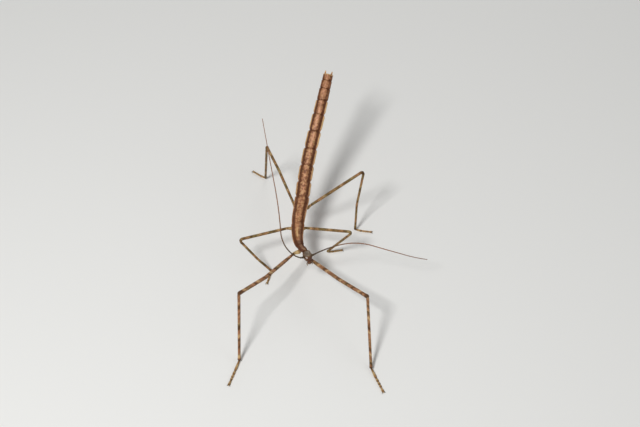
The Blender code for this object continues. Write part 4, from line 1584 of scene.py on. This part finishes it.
@dataclass
class Feeler:
    """One feeler: a flattened first joint, a short second one and a whip of many rings."""

    head: Head
    side: Side
    length: float
    turns: tuple[float, ...]
    climbs: tuple[float, ...]
    quickness: float
    root_depth: float = 0.25
    root_reach: float = 0.3
    scape: float = 1.0
    pedicel: float = 0.7
    scape_width: float = 0.80
    scape_height: float = 0.82
    pedicel_width: float = 0.62
    ring_length: float = 1.15
    root_width: float = 0.54
    tip_width: float = 0.26
    sweep_step: float = 0.5
    ring_step: float = 0.085
    caps: tuple[float, float] = (0.2, 0.2)
    columns: int = 16

    def __post_init__(self) -> None:
        """Draws the sweep: steps whose turn and climb are read along its length."""
        angle = self.head.feeler_angle if self.side is Side.LEFT else 180.0 - self.head.feeler_angle
        root, out = self.head.surface(self.head.feeler_share, angle)
        count = int(self.length / self.sweep_step)
        share = ((np.arange(count) + 0.5) / count) ** self.quickness
        knots = np.linspace(0.0, 1.0, len(self.turns))
        turn, climb = np.interp(share, knots, self.turns), np.interp(share, knots, self.climbs)
        ways = np.stack([heading(*pair) for pair in zip(turn, climb)])
        first = root + out * self.root_reach
        sweep = first + np.cumsum(ways * self.sweep_step, axis=0)
        points = np.concatenate(([root - out * self.root_depth, first], sweep))
        self.line = Line(points, Carry.FORWARDS, UP)
        self.scape_end = self.root_depth + self.root_reach + self.scape
        self.whip_start = self.scape_end + self.pedicel

    def shape(self, grid: Grid) -> tuple[Array, Array]:
        """The width and height of a ring: thinner towards the tip, each joint swollen at its end.

        Args:
            grid: the feeler's grid.

        Returns:
            The full width and the full height, in mm.
        """
        distance, after = grid.distance, grid.distance - self.whip_start
        ring = (after / self.ring_length) % 1.0
        notch = Bell(0.14, 0.0, 0.05).at(ring) + Bell(0.14, 1.0, 0.05).at(ring)
        whip = self.root_width + (self.tip_width - self.root_width) * grid.share
        whip = whip * (0.90 + 0.10 * ease(0.1, 0.9, ring) - notch)
        first = self.scape_width * (0.9 + Bell(0.1, 0.9, 0.4).at(distance))
        second = self.pedicel_width * (0.92 + Bell(0.08, 2.0, 0.3).at(distance))
        in_scape = distance < self.scape_end
        width = np.where(in_scape, first, np.where(after < 0.0, second, whip))
        neck = Bell(0.32, self.scape_end, 0.05).at(distance) + Bell(0.32, 0.0, 0.05).at(after)
        width = width * (1.0 - neck)
        return width, width * np.where(in_scape, self.scape_height, 1.0)

    def marks(self, grid: Grid) -> Marks:
        """Dark near the head, then brown, each ring darker at its base and paler at its end.

        Args:
            grid: the feeler's grid.

        Returns:
            The marks by name.
        """
        share = grid.share
        ring = ((grid.distance - self.whip_start) / self.ring_length) % 1.0
        near = ease(0.30, 0.12, share)
        patches = 0.5 + 0.5 * ripple(grid.distance, (9.7, 6.1, 14.3), 1.0 + self.side.value)
        return {
            "warm": 0.75 * ease(0.2, 0.45, share),
            "cool": 0.9 * near,
            "dark": clipped(0.45 * near + 0.55 * hump(ring, 0.0, 0.18) + 0.30 * patches),
            "pale": 0.55 * hump(ring, 0.88, 0.08) * ease(0.25, 0.4, share),
            "fleck": 0.3,
        }

    def build(self, shop: Shop) -> Patch:
        """Makes the feeler.

        Args:
            shop: where it is made.

        Returns:
            The patch, for the setae to grow from.
        """
        grid = capped(self.line, self.caps, self.ring_step, self.columns)
        patch = grid.oval(*self.shape(grid), self.marks(grid))
        nodes = tuple(f"antenna_{self.side.label}_{part}" for part in ("base", "middle", "tip"))
        shop.tubes(f"feeler_{self.side.label}", [patch], shop.feeler, "feeler", nodes)
        return patch


# ---- Legs ----


@dataclass(frozen=True)
class Build:
    """How one pair of legs is made, in mm and degrees."""

    plate: str
    plate_share: float
    hip_angle: float
    femur: float
    tibia: float
    tarsus: float
    femur_width: float
    tibia_width: float
    base_share: float


@dataclass(frozen=True)
class Hold:
    """How one leg is held: its hip in mm, its directions in degrees and its bones' bows in mm."""

    hip: tuple[float, float, float]
    femur_turn: float
    femur_climb: float
    tibia_turn: float
    foot_turn: float
    femur_bow: float = 0.0
    tibia_bow: float = 0.0


BUILDS = {
    Pair.FRONT: Build("prothorax", 0.60, 48.0, 37.0, 27.5, 11.7, 1.5, 1.25, 0.66),
    Pair.MIDDLE: Build("mesothorax", 0.93, 42.0, 19.8, 19.1, 6.2, 1.2, 1.05, 0.86),
    Pair.HIND: Build("metathorax", 0.70, 42.0, 25.4, 27.7, 6.7, 1.2, 1.05, 0.86),
}
HOLDS = {
    (Pair.FRONT, Side.LEFT): Hold((2.6, -13.1, 11.4), -49.5, 12.2, -88.6, -69.1, femur_bow=0.5),
    (Pair.FRONT, Side.RIGHT): Hold((-1.7, -12.7, 12.8), -127.1, 17.9, -95.0, -110.0, femur_bow=-1.1),
    (Pair.MIDDLE, Side.LEFT): Hold((2.7, 0.1, 12.8), -20.1, 12.2, 158.9, 7.9),
    (Pair.MIDDLE, Side.RIGHT): Hold((-4.5, -0.2, 13.3), 201.0, 6.0, -21.5, -107.4, tibia_bow=0.7),
    (Pair.HIND, Side.LEFT): Hold((5.1, 9.2, 15.8), 17.4, 26.7, -115.0, -11.3, tibia_bow=0.7),
    (Pair.HIND, Side.RIGHT): Hold((-1.6, 10.8, 16.0), 116.3, 27.2, 104.4, 141.0, femur_bow=0.4),
}


@dataclass
class Leg:
    """One leg, from its hip joint to its claws, as nested joints on one bent line.

    A lap is how far past its two joints a bone starts and ends, in mm. The wave lengths of the
    bands, the spots and the tints along it are in mm too.
    """

    trunk: Trunk
    pair: Pair
    side: Side
    ankle_height: float = 0.85
    tarsus_height: float = 0.40
    tarsomeres: tuple[float, ...] = (0.38, 0.17, 0.13, 0.10, 0.22)
    tarsus_width: float = 0.84
    radii: dict[str, float] = field(
        default_factory=lambda: {"hip": 0.50, "bow": 9.0, "knee": 0.80, "ankle": 0.55}
    )
    ridges: tuple[float, ...] = (48.0, 132.0, 205.0, 270.0, 335.0)
    femur_ridge: float = 0.16
    tibia_ridge: float = 0.13
    tooth: float = 0.62
    ring_step: float = 0.13
    columns: int = 40
    foot_caps: tuple[float, float] = (0.2, 0.16)
    hip_laps: tuple[float, float] = (-0.25, 0.75)
    femur_laps: tuple[float, float] = (0.35, 0.42)
    tibia_laps: tuple[float, float] = (-0.25, 0.16)
    bands: tuple[float, ...] = (4.4, 2.7, 7.9)
    spots: tuple[float, ...] = (1.5, 2.1, 3.3)
    tints: tuple[float, ...] = (6.3, 9.1)
    claw_splay: float = 24.0
    claw_length: float = 0.95
    pad_length: float = 0.62

    def __post_init__(self) -> None:
        """Draws the line through the leg, with rounded bends, and finds its joints."""
        self.sizes, hold = BUILDS[self.pair], HOLDS[self.pair, self.side]
        sizes = self.sizes
        angle = -sizes.hip_angle if self.side is Side.LEFT else 180.0 + sizes.hip_angle
        root, out = self.trunk.surface(sizes.plate, sizes.plate_share, angle)
        hip = np.array(hold.hip)
        thigh = heading(hold.femur_turn, hold.femur_climb)
        knee = hip + thigh * sizes.femur
        slope = math.degrees(math.asin((knee[2] - self.ankle_height) / sizes.tibia))
        shin = heading(hold.tibia_turn, -slope)
        ankle = knee + shin * sizes.tibia
        foot = heading(hold.foot_turn, 0.0) * sizes.tarsus
        drop = UP * (self.ankle_height - self.tarsus_height)
        half = 0.5 * math.acos(float(thigh @ shin))
        push = unit(thigh - shin) * self.radii["knee"] * (1.0 / math.cos(half) - 1.0)
        bends = [("hip", root + out * 0.75), ("hip", hip)]
        if hold.femur_bow:
            bends.append(("bow", self._bowed(hip, knee, hold.femur_bow)))
        bends.append(("knee", knee + push))
        if hold.tibia_bow:
            bends.append(("bow", self._bowed(knee, ankle, hold.tibia_bow)))
        bends += [("ankle", ankle), ("ankle", ankle + foot * self.tarsomeres[0] - drop)]
        corners = [root - out * 0.6, *(corner for _, corner in bends), ankle + foot - drop]
        names = [name for name, _ in bends]
        points, middles = rounded(corners, [self.radii[name] for name in names])
        self.line = Line(points)
        self.hip = middles[1]
        self.knee, self.ankle = (middles[names.index(name)] for name in ("knee", "ankle"))

    @staticmethod
    def _bowed(start: Array, end: Array, bow: float) -> Array:
        """The corner that bows a bone sideways, a little past its middle."""
        level = unit(np.cross(end - start, UP))
        return start + (end - start) * BOW_SHARE + level * bow

    @property
    def label(self) -> str:
        """The leg's name, such as front_left."""
        return f"{self.pair.value}_{self.side.label}"

    @property
    def seed(self) -> float:
        """A number that sets this leg's mottling apart from the others'."""
        return 1.3 * list(HOLDS).index((self.pair, self.side)) + 0.4

    def bone(
        self,
        ends: tuple[float, float],
        radius: Callable[[Array], Array],
        marks: Callable[[Grid], Marks],
        ridge: float = 0.0,
        up: Array | None = None,
    ) -> Patch:
        """Makes one joint of the leg: a tube with rounded ends and keels along it.

        The radius is multiplied by 1 less the ridge's height, plus a bell of that height at each
        keel's angle. The keels are notched along their length by a small wave.

        Args:
            ends: where it starts and ends on the leg's line, in mm.
            radius: gives the radius from the share of the length.
            marks: gives the markings of its grid.
            ridge: the height of its keels over the radius.
            up: the up side at its start, or none for the vertical.

        Returns:
            The patch.
        """
        carry = Carry.LEVEL if up is None else Carry.FORWARDS
        cap = float(radius(np.array(0.5))) * 0.75
        line = self.line.part(*ends, carry, UP if up is None else up)
        grid = capped(line, (cap, cap), self.ring_step, self.columns)
        teeth = 0.75 + 0.25 * np.sin(2.0 * np.pi * grid.distance / self.tooth)
        keels = sum(hump(angle_from(grid.angle, centre), 0.0, 15.0) for centre in self.ridges)
        amount = ridge * ease(0.0, 0.12, grid.share) * ease(1.0, 0.93, grid.share)
        full = 2.0 * radius(grid.share) * (1.0 - amount + amount * keels * (0.6 + 0.4 * teeth))
        return grid.oval(full, full, marks(grid))

    def mottle(self, grid: Grid, length: float, strength: float) -> Marks:
        """Uneven pale and dark bands along a bone, offset a little round it.

        Args:
            grid: the bone's grid.
            length: the bone's length in mm.
            strength: how strong the bands are.

        Returns:
            The marks.
        """
        share, seed = grid.share, self.seed
        place = share * length + 0.35 * np.sin(np.radians(grid.angle) * 2.0 + seed)
        wave, spots = ripple(place, self.bands, seed), ripple(place, self.spots, seed * 1.7)
        ends = hump(share, 0.0, 0.035) + hump(share, 1.0, 0.03)
        top = 0.5 + 0.5 * grid.sin
        blush = 0.4 if self.pair is Pair.FRONT else 0.0
        dark = 0.6 * ease(0.05, 0.6, -wave) + 0.5 * ease(0.25, 0.6, spots)
        pale = 0.62 * ease(0.2, 0.6, wave) * (0.5 + 0.5 * top)
        return {
            "warm": 0.35 + blush + 0.3 * wave,
            "cool": clipped(0.5 - blush + 0.6 * ripple(place, self.tints, seed * 2.3)),
            "dark": clipped(strength * dark + 0.8 * ends),
            "pale": clipped(strength * pale - 0.4 * ends),
            "fleck": 0.55,
        }

    def plain(self, grid: Grid) -> Marks:
        """The marks of the hip's joints: dark at the root and pale before the end."""
        pale = (0.95 if self.pair is Pair.FRONT else 0.5) * hump(grid.share, 0.6, 0.3)
        return {"warm": 0.3, "dark": 0.75 * hump(grid.share, 0.0, 0.12), "pale": pale, "fleck": 0.5}

    def bones(self) -> list[Patch]:
        """The hip, the two long bones and the five foot joints.

        Returns:
            The patches, from the hip outwards.
        """
        sizes, hip, knee, ankle = self.sizes, self.hip, self.knee, self.ankle
        thick, thin = 0.5 * sizes.femur_width, 0.5 * sizes.tibia_width
        strength = 1.0 if self.pair is Pair.FRONT else 0.75

        def hip_radius(share: Array) -> Array:
            """Swollen before its middle and thinner at its end."""
            return thick * (0.98 + 0.17 * hump(share, 0.45, 0.35) - 0.10 * share)

        def femur_radius(share: Array) -> Array:
            """Thin at its root, with a low collar before the knee."""
            base = sizes.base_share + (1.0 - sizes.base_share) * ease(0.0, 0.22, share)
            return thick * base * (1.0 + 0.10 * ease(0.93, 0.99, share) - 0.03 * hump(share, 0.9, 0.03))

        def tibia_radius(share: Array) -> Array:
            """Slimmer and slimmer from the knee, then wider at the ankle."""
            start = 0.86 + 0.14 * ease(0.0, 0.05, share)
            return thin * start * (1.0 - 0.08 * share + 0.14 * ease(0.90, 0.99, share))

        femur = partial(self.mottle, length=sizes.femur, strength=strength)
        tibia = partial(self.mottle, length=sizes.tibia, strength=1.1 * strength)
        knee_up = self.line.part(hip, knee, Carry.FORWARDS, UP).ups[-1]
        ring, long, short = (
            (start + laps[0], end + laps[1])
            for start, end, laps in (
                (hip, hip, self.hip_laps),
                (hip, knee, self.femur_laps),
                (knee, ankle, self.tibia_laps),
            )
        )
        return [
            self.bone((0.0, hip + 0.1), hip_radius, self.plain),
            self.bone(ring, lambda share: np.full_like(share, 0.92 * thick), self.plain),
            self.bone(long, femur_radius, femur, self.femur_ridge),
            self.bone(short, tibia_radius, tibia, self.tibia_ridge, knee_up),
            *self.foot(),
        ]

    def foot(self) -> list[Patch]:
        """The five joints of the foot, each widening to a pad that lies on the floor.

        A ring is level: half the width times the cosine across, half the height times the sine
        up, and nothing of the pad goes below the floor.

        Returns:
            The patches, from the ankle outwards.
        """
        start = self.ankle + 0.05
        length = self.line.length - start
        breadth = self.sizes.tibia_width / 1.05
        patches, done = [], 0.0
        for number, part in enumerate(self.tarsomeres):
            begin, finish = start + length * done - 0.12, start + length * (done + part) + 0.02
            done += part
            line = self.line.part(begin, finish, Carry.LEVEL, UP)
            grid = capped(line, self.foot_caps, 0.09, 32)
            share, waist = grid.share, 0.66 if number == len(self.tarsomeres) - 1 else 0.72
            width = self.tarsus_width * (waist + (1.0 - waist) * ease(0.15, 0.85, share))
            pad = ease(0.45, 0.75, share) * ease(1.02, 0.92, share)
            marks = {
                "warm": 0.2,
                "dark": 0.8 * hump(share, 0.0, 0.22) + 0.25 * (number % 2),
                "pale": 0.75 * ease(-0.3, -0.8, grid.sin) + 0.55 * hump(share, 0.6, 0.25),
                "fleck": 0.4,
            }
            patch = grid.oval(width * breadth, width * np.where(grid.sin > 0.0, 1.0 - 0.12 * pad, 1.0), marks)
            if line.at(line.length * 0.8).place[0][2] < self.ankle_height:
                patch.keep_above_floor()
            patches.append(patch)
        return patches

    def claws(self, shop: Shop) -> None:
        """Makes the pair of hooked claws and the soft pad between them.

        Args:
            shop: where they are made.
        """
        at = self.line.at(self.line.length)
        tip, along, side = at.place[0], at.along[0], at.side[0]
        hooks = []
        for way in Side:
            out = unit(along + side * way.value * math.tan(math.radians(self.claw_splay)))
            root = tip - along * 0.28 + side * way.value * 0.22 + UP * 0.04
            end = root + out * self.claw_length - UP * 0.26
            line = Line(bent(root, end, unit(out + UP * 0.4), unit(out - UP)))
            grid = capped(line, (0.12, 0.05), 0.06, 20)
            thick = 0.40 - 0.34 * grid.share**0.8
            hooks.append(grid.oval(0.8 * thick, thick, {}))
        shop.tubes(f"claws_{self.label}", hooks, shop.claw, "leg_shell")
        start = tip - along * 0.2 - UP * 0.05
        line = Line(np.linspace(start, start + along * self.pad_length - UP * 0.02, 20))
        grid = capped(line, (0.2, 0.26), 0.04, 28)
        width = 0.34 + 0.30 * ease(0.1, 0.7, grid.share)
        pad = grid.oval(width, 0.72 * width, {})
        pad.keep_above_floor()
        shop.tubes(f"foot_pad_{self.label}", [pad], shop.pad, "leg_shell")

    def build(self, shop: Shop) -> list[Patch]:
        """Makes the leg.

        Args:
            shop: where it is made.

        Returns:
            The patches, for the setae to grow from.
        """
        patches = self.bones()
        bones = ("coxa", "femur", "tibia", "tarsus")
        nodes = tuple(f"{self.pair.value}_{bone}_{self.side.label}" for bone in bones)
        shop.tubes(f"leg_{self.label}", patches, shop.leg, "leg_shell", nodes)
        self.claws(shop)
        return patches


# ---- Tail ----


@dataclass
class Tail:
    """The two short feelers at the tail's end."""

    trunk: Trunk
    length: float = 1.15
    root_depth: float = 0.5
    out: float = 1.30
    up: float = 0.20
    splay: float = 0.06
    reach: float = 0.62
    root_width: float = 0.78
    taper: float = 0.42
    flatness: float = 0.72
    caps: tuple[float, float] = (0.2, 0.3)

    def build(self, shop: Shop) -> list[Patch]:
        """Makes both: flattened cones, thinner by the power 1.5 of the share of their length.

        Args:
            shop: where they are made.

        Returns:
            The patches, for the setae to grow from.
        """
        at = self.trunk.line.at(self.trunk.line.length)
        patches = []
        for side in Side:
            way = unit(at.along[0] + at.side[0] * side.value * self.splay)
            start = at.place[0] + at.side[0] * side.value * self.out + at.up[0] * self.up
            start = start - way * self.root_depth
            line = Line(np.linspace(start, start + way * (self.length + self.reach), 24))
            grid = capped(line, self.caps, 0.05, 28)
            width = self.root_width - self.taper * grid.share**1.5
            dark, pale = 0.5 * ease(0.6, 0.3, grid.share), 0.8 * ease(0.4, 0.7, grid.share)
            marks = {"warm": 0.4, "dark": dark, "pale": pale}
            patches.append(grid.oval(width, self.flatness * width, marks))
            nodes = (f"cercus_{side.label}",)
            shop.tubes(f"tail_feeler_{side.label}", patches[-1:], shop.trunk, "body_shell", nodes)
        return patches


# ---- Setae ----


@dataclass
class Setae:
    """Short stiff hairs over one part of the body, joined into one mesh."""

    name: str
    slot: str
    count: int
    length: float
    thickness: float = 0.035
    lean: float = 0.75
    bend: float = 0.9
    bend_share: float = 0.55
    upper_width: float = 0.32
    shortest: float = 0.6
    spread: float = 0.6
    depth: float = 0.03
    clearance: float = 0.05
    patch_size: float = 0.003
    seed: int = 11

    def build(self, shop: Shop, patches: list[Patch], material: bpy.types.Material) -> None:
        """Plants the hairs over the skin's patches.

        A place on the skin is drawn with a chance that goes by its area. A hair carries the marks
        of the skin at its root, and a small patch of the skin's unwrap.

        Args:
            shop: where they are made.
            patches: the skin's patches.
            material: the finish, which is the skin's own.
        """
        draw = np.random.default_rng(self.seed + self.count)
        areas = [patch.areas() for patch in patches]
        weights = np.array([area.sum() for area in areas])
        shares = np.round(self.count * weights / weights.sum()).astype(int)
        found = []
        for index, (patch, area, share) in enumerate(zip(patches, areas, shares)):
            rows, columns = area.shape
            picked = draw.choice(area.size, size=share, p=(area / area.sum()).reshape(-1))
            row, column = np.divmod(picked, columns)
            place = np.stack(((column + 0.5) / columns, (index + (row + 0.5) / rows) / len(patches)), axis=-1)
            skin = patch.points, patch.normals(), unit(patch.steps()[0]), *patch.marks.values()
            found.append([place, *(values[row, column] for values in skin)])
        place, root, out, along, *marks = (np.concatenate(each) for each in zip(*found))
        clear = root[:, 2] + np.minimum(out[:, 2], 0.0) * self.length * 1.3 > self.clearance
        place, root, out, along, *marks = (each[clear] for each in (place, root, out, along, *marks))
        size = self.length * (self.shortest + self.spread * draw.random(len(root)))[:, None]
        points, faces = self.spikes(root, out, along, size)
        at_points = {name: np.repeat(values, 7) for name, values in zip(MARK_NAMES, marks)}
        made = shop.piece(self.name, points, faces, at_points, material, self.slot)
        corner = np.array([(across, up) for up in (0.0, 0.6) for across in (0.0, 1.0, 0.5)] + [(0.5, 1.0)])
        places = (place[:, None] + (corner - 0.5) * self.patch_size).reshape(-1, 2)
        order = np.concatenate([group.reshape(-1) for group in faces])
        unwrap = made.data.uv_layers.new(name="OFBake")
        unwrap.data.foreach_set("uv", places[order].astype(np.float32).reshape(-1))

    def spikes(self, root: Array, out: Array, along: Array, size: Array) -> tuple[Array, list[Array]]:
        """Curved three-sided spikes that lean towards the part's tip: seven points to each.

        A spine leaves along the skin's outward direction mixed with the direction along the
        part, and leans over further for the second part of its length.

        Args:
            root: the roots, in mm.
            out: the outward directions.
            along: the directions along the part.
            size: the lengths, in mm.

        Returns:
            The points, and the four-sided and the three-sided faces.
        """
        rise = unit(out + along * self.lean)
        across = unit(np.cross(rise, along + 0.01 * UP))
        other = np.cross(rise, across)
        sunk = root - out * self.depth
        middle = sunk + rise * size * self.bend_share
        tip = middle + unit(out + along * (self.lean + self.bend)) * size * (1.0 - self.bend_share)
        turns = np.radians((0.0, 120.0, 240.0))
        ring = np.stack([across * math.cos(turn) + other * math.sin(turn) for turn in turns], axis=1)
        lower, upper = (
            place[:, None] + ring * share * self.thickness
            for place, share in ((sunk, 0.5), (middle, self.upper_width))
        )
        points = np.concatenate((lower, upper, tip[:, None]), axis=1).reshape(-1, 3)
        first = np.arange(len(root))[:, None, None] * 7
        walls = np.array(((0, 1, 4, 3), (1, 2, 5, 4), (2, 0, 3, 5)))
        tops = np.array(((3, 4, 6), (4, 5, 6), (5, 3, 6), (2, 1, 0)))
        return points, [(first + walls).reshape(-1, 4), (first + tops).reshape(-1, 3)]


# ---- Studio ----


class Lamp(NamedTuple):
    """An area lamp: its place and size in metres, and its power in watts."""

    name: str
    place: tuple[float, float, float]
    size: float
    power: float


@dataclass
class Studio:
    """A pale floor, soft lights and the camera.

    The camera's aim and distance are in mm from the waist on the drawing. The floor, the lamps
    and the camera's clip range are in metres in the frame.
    """

    waist: Array
    aim: tuple[float, float, float] = (8.99, 2.36, 18.80)
    elevation: float = 50.0
    roll: float = -1.98
    distance: float = 711.1
    lens: float = 100.0
    sensor_width: float = 36.0
    clip: tuple[float, float] = (0.01, 20.0)
    floor_size: float = 2.4
    floor_colour: tuple[float, float, float] = (0.80, 0.80, 0.78)
    floor_roughness: float = 0.9
    world_strength: float = 0.22
    lamp_aim: tuple[float, float, float] = (0.0, 0.0, 0.02)
    lamps: tuple[Lamp, ...] = (
        Lamp("key", (-0.26, -0.30, 0.62), 0.16, 3.7),
        Lamp("fill", (0.50, -0.20, 0.40), 0.45, 0.55),
        Lamp("rim", (0.10, 0.60, 0.45), 0.35, 0.65),
    )

    def build(self) -> None:
        """Lays the floor, hangs the lamps and sets the camera."""
        self.build_floor()
        self.build_lights()
        self.build_camera()

    def build_floor(self) -> None:
        """Lays a wide pale floor under the feet."""
        corners = np.array(((-1, -1, 0), (1, -1, 0), (1, 1, 0), (-1, 1, 0))) * self.floor_size / MM
        made, bench, shader = new_material("studio floor")
        bench.put(self.floor_colour, shader["Base Color"])
        bench.put(self.floor_roughness, shader["Roughness"])
        floor = mesh_object("studio_floor", corners, [np.array(((0, 1, 2, 3),))], made)

    def build_lights(self) -> None:
        """Hangs a large soft key light, a fill on the other side and a rim light behind."""
        world = bpy.context.scene.world or bpy.data.worlds.new("studio")
        bpy.context.scene.world = world
        world.use_nodes = True
        bench, inputs = Bench(world.node_tree), world.node_tree.nodes["Background"].inputs
        bench.put((1.0, 1.0, 1.0), inputs["Color"])
        bench.put(self.world_strength, inputs["Strength"])
        for lamp in self.lamps:
            data = bpy.data.lights.new(lamp.name, "AREA")
            data.size, data.energy = lamp.size, lamp.power
            made = bpy.data.objects.new(lamp.name, data)
            made.location = lamp.place
            made.rotation_euler = self._facing(np.array(lamp.place) - self.lamp_aim)
            bpy.context.scene.collection.objects.link(made)

    @staticmethod
    def _facing(back: Array, roll: float = 0.0) -> Euler:
        """The turn that makes an object look away from a direction.

        Args:
            back: the direction behind it.
            roll: its turn about the line of sight, in radians.

        Returns:
            The turn: the roll, then a tilt about X, then a spin about Z.
        """
        tilt = math.atan2(math.hypot(back[0], back[1]), back[2])
        spin = math.atan2(back[0], -back[1])
        turns = (Matrix.Rotation(turn, 3, axis) for turn, axis in ((spin, "Z"), (tilt, "X"), (roll, "Z")))
        first, second, third = turns
        return (first @ second @ third).to_euler()

    def build_camera(self) -> None:
        """Sets the camera in front of the head and above it, a little rolled, with plain colours."""
        bpy.context.scene.view_settings.view_transform = "Standard"
        data = bpy.data.cameras.new("camera")
        data.lens, data.sensor_width = self.lens, self.sensor_width
        data.clip_start, data.clip_end = self.clip
        camera = bpy.data.objects.new("camera", data)
        back = heading(-90.0, self.elevation)
        camera.location = (self.waist + np.array(self.aim) + back * self.distance) * MM
        camera.rotation_euler = self._facing(back, math.radians(self.roll))
        bpy.context.scene.collection.objects.link(camera)
        bpy.context.scene.camera = camera


def setting_out(head: Head) -> Array:
    """The drawing's place in the frame, from the middle of the left eye's box.

    Both have the floor at a height of 0, so the shift is level.

    Args:
        head: the head, which knows where its eyes are drawn.

    Returns:
        The shift in mm.
    """
    left = np.mean(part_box("eye_left"), axis=0) / MM - head.eye_centre(Side.LEFT)
    right = np.mean(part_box("eye_right"), axis=0) / MM - head.eye_centre(Side.RIGHT)
    log.info("set out by the left eye; the right eye is %.4f mm off", np.linalg.norm(right - left))
    return left * (1.0, 1.0, 0.0)


def main() -> None:
    """Builds the insect from its trunk outwards, then the studio."""
    logging.basicConfig(level=logging.INFO, format="%(message)s")
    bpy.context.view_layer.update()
    trunk = Trunk()
    head = Head(trunk)
    shift = setting_out(head)
    shop = Shop(shift)
    trunk_patch, head_patch = trunk.build(shop), head.build(shop)
    Mouth(head).build(shop)
    feelers = [
        Feeler(head, Side.LEFT, 52.2, (5.3, -3.6, -20.0, 4.0, 38.0), (33.7, 20.6, -5.0, -31.0, -45.0), 1.0),
        Feeler(head, Side.RIGHT, 62.8, (229.0, 165.0, 92.4, 100.0, 99.0), (8.0, 31.3, 29.0, 26.0, 26.0), 0.5),
    ]
    feeler_patches = [feeler.build(shop) for feeler in feelers]
    leg_patches = [patch for pair, side in HOLDS for patch in Leg(trunk, pair, side).build(shop)]
    trunk_patches = [trunk_patch, *Tail(trunk).build(shop)]
    Setae("leg_setae", "leg_shell", 5200, 0.24).build(shop, leg_patches, shop.leg)
    Setae("feeler_setae", "feeler", 2600, 0.20, 0.028).build(shop, feeler_patches, shop.feeler)
    Setae("trunk_setae", "body_shell", 2200, 0.16).build(shop, trunk_patches, shop.trunk)
    Setae("head_setae", "head_shell", 420, 0.18, 0.028).build(shop, [head_patch], shop.head)
    Studio(shift).build()


if __name__ == "__main__":
    main()
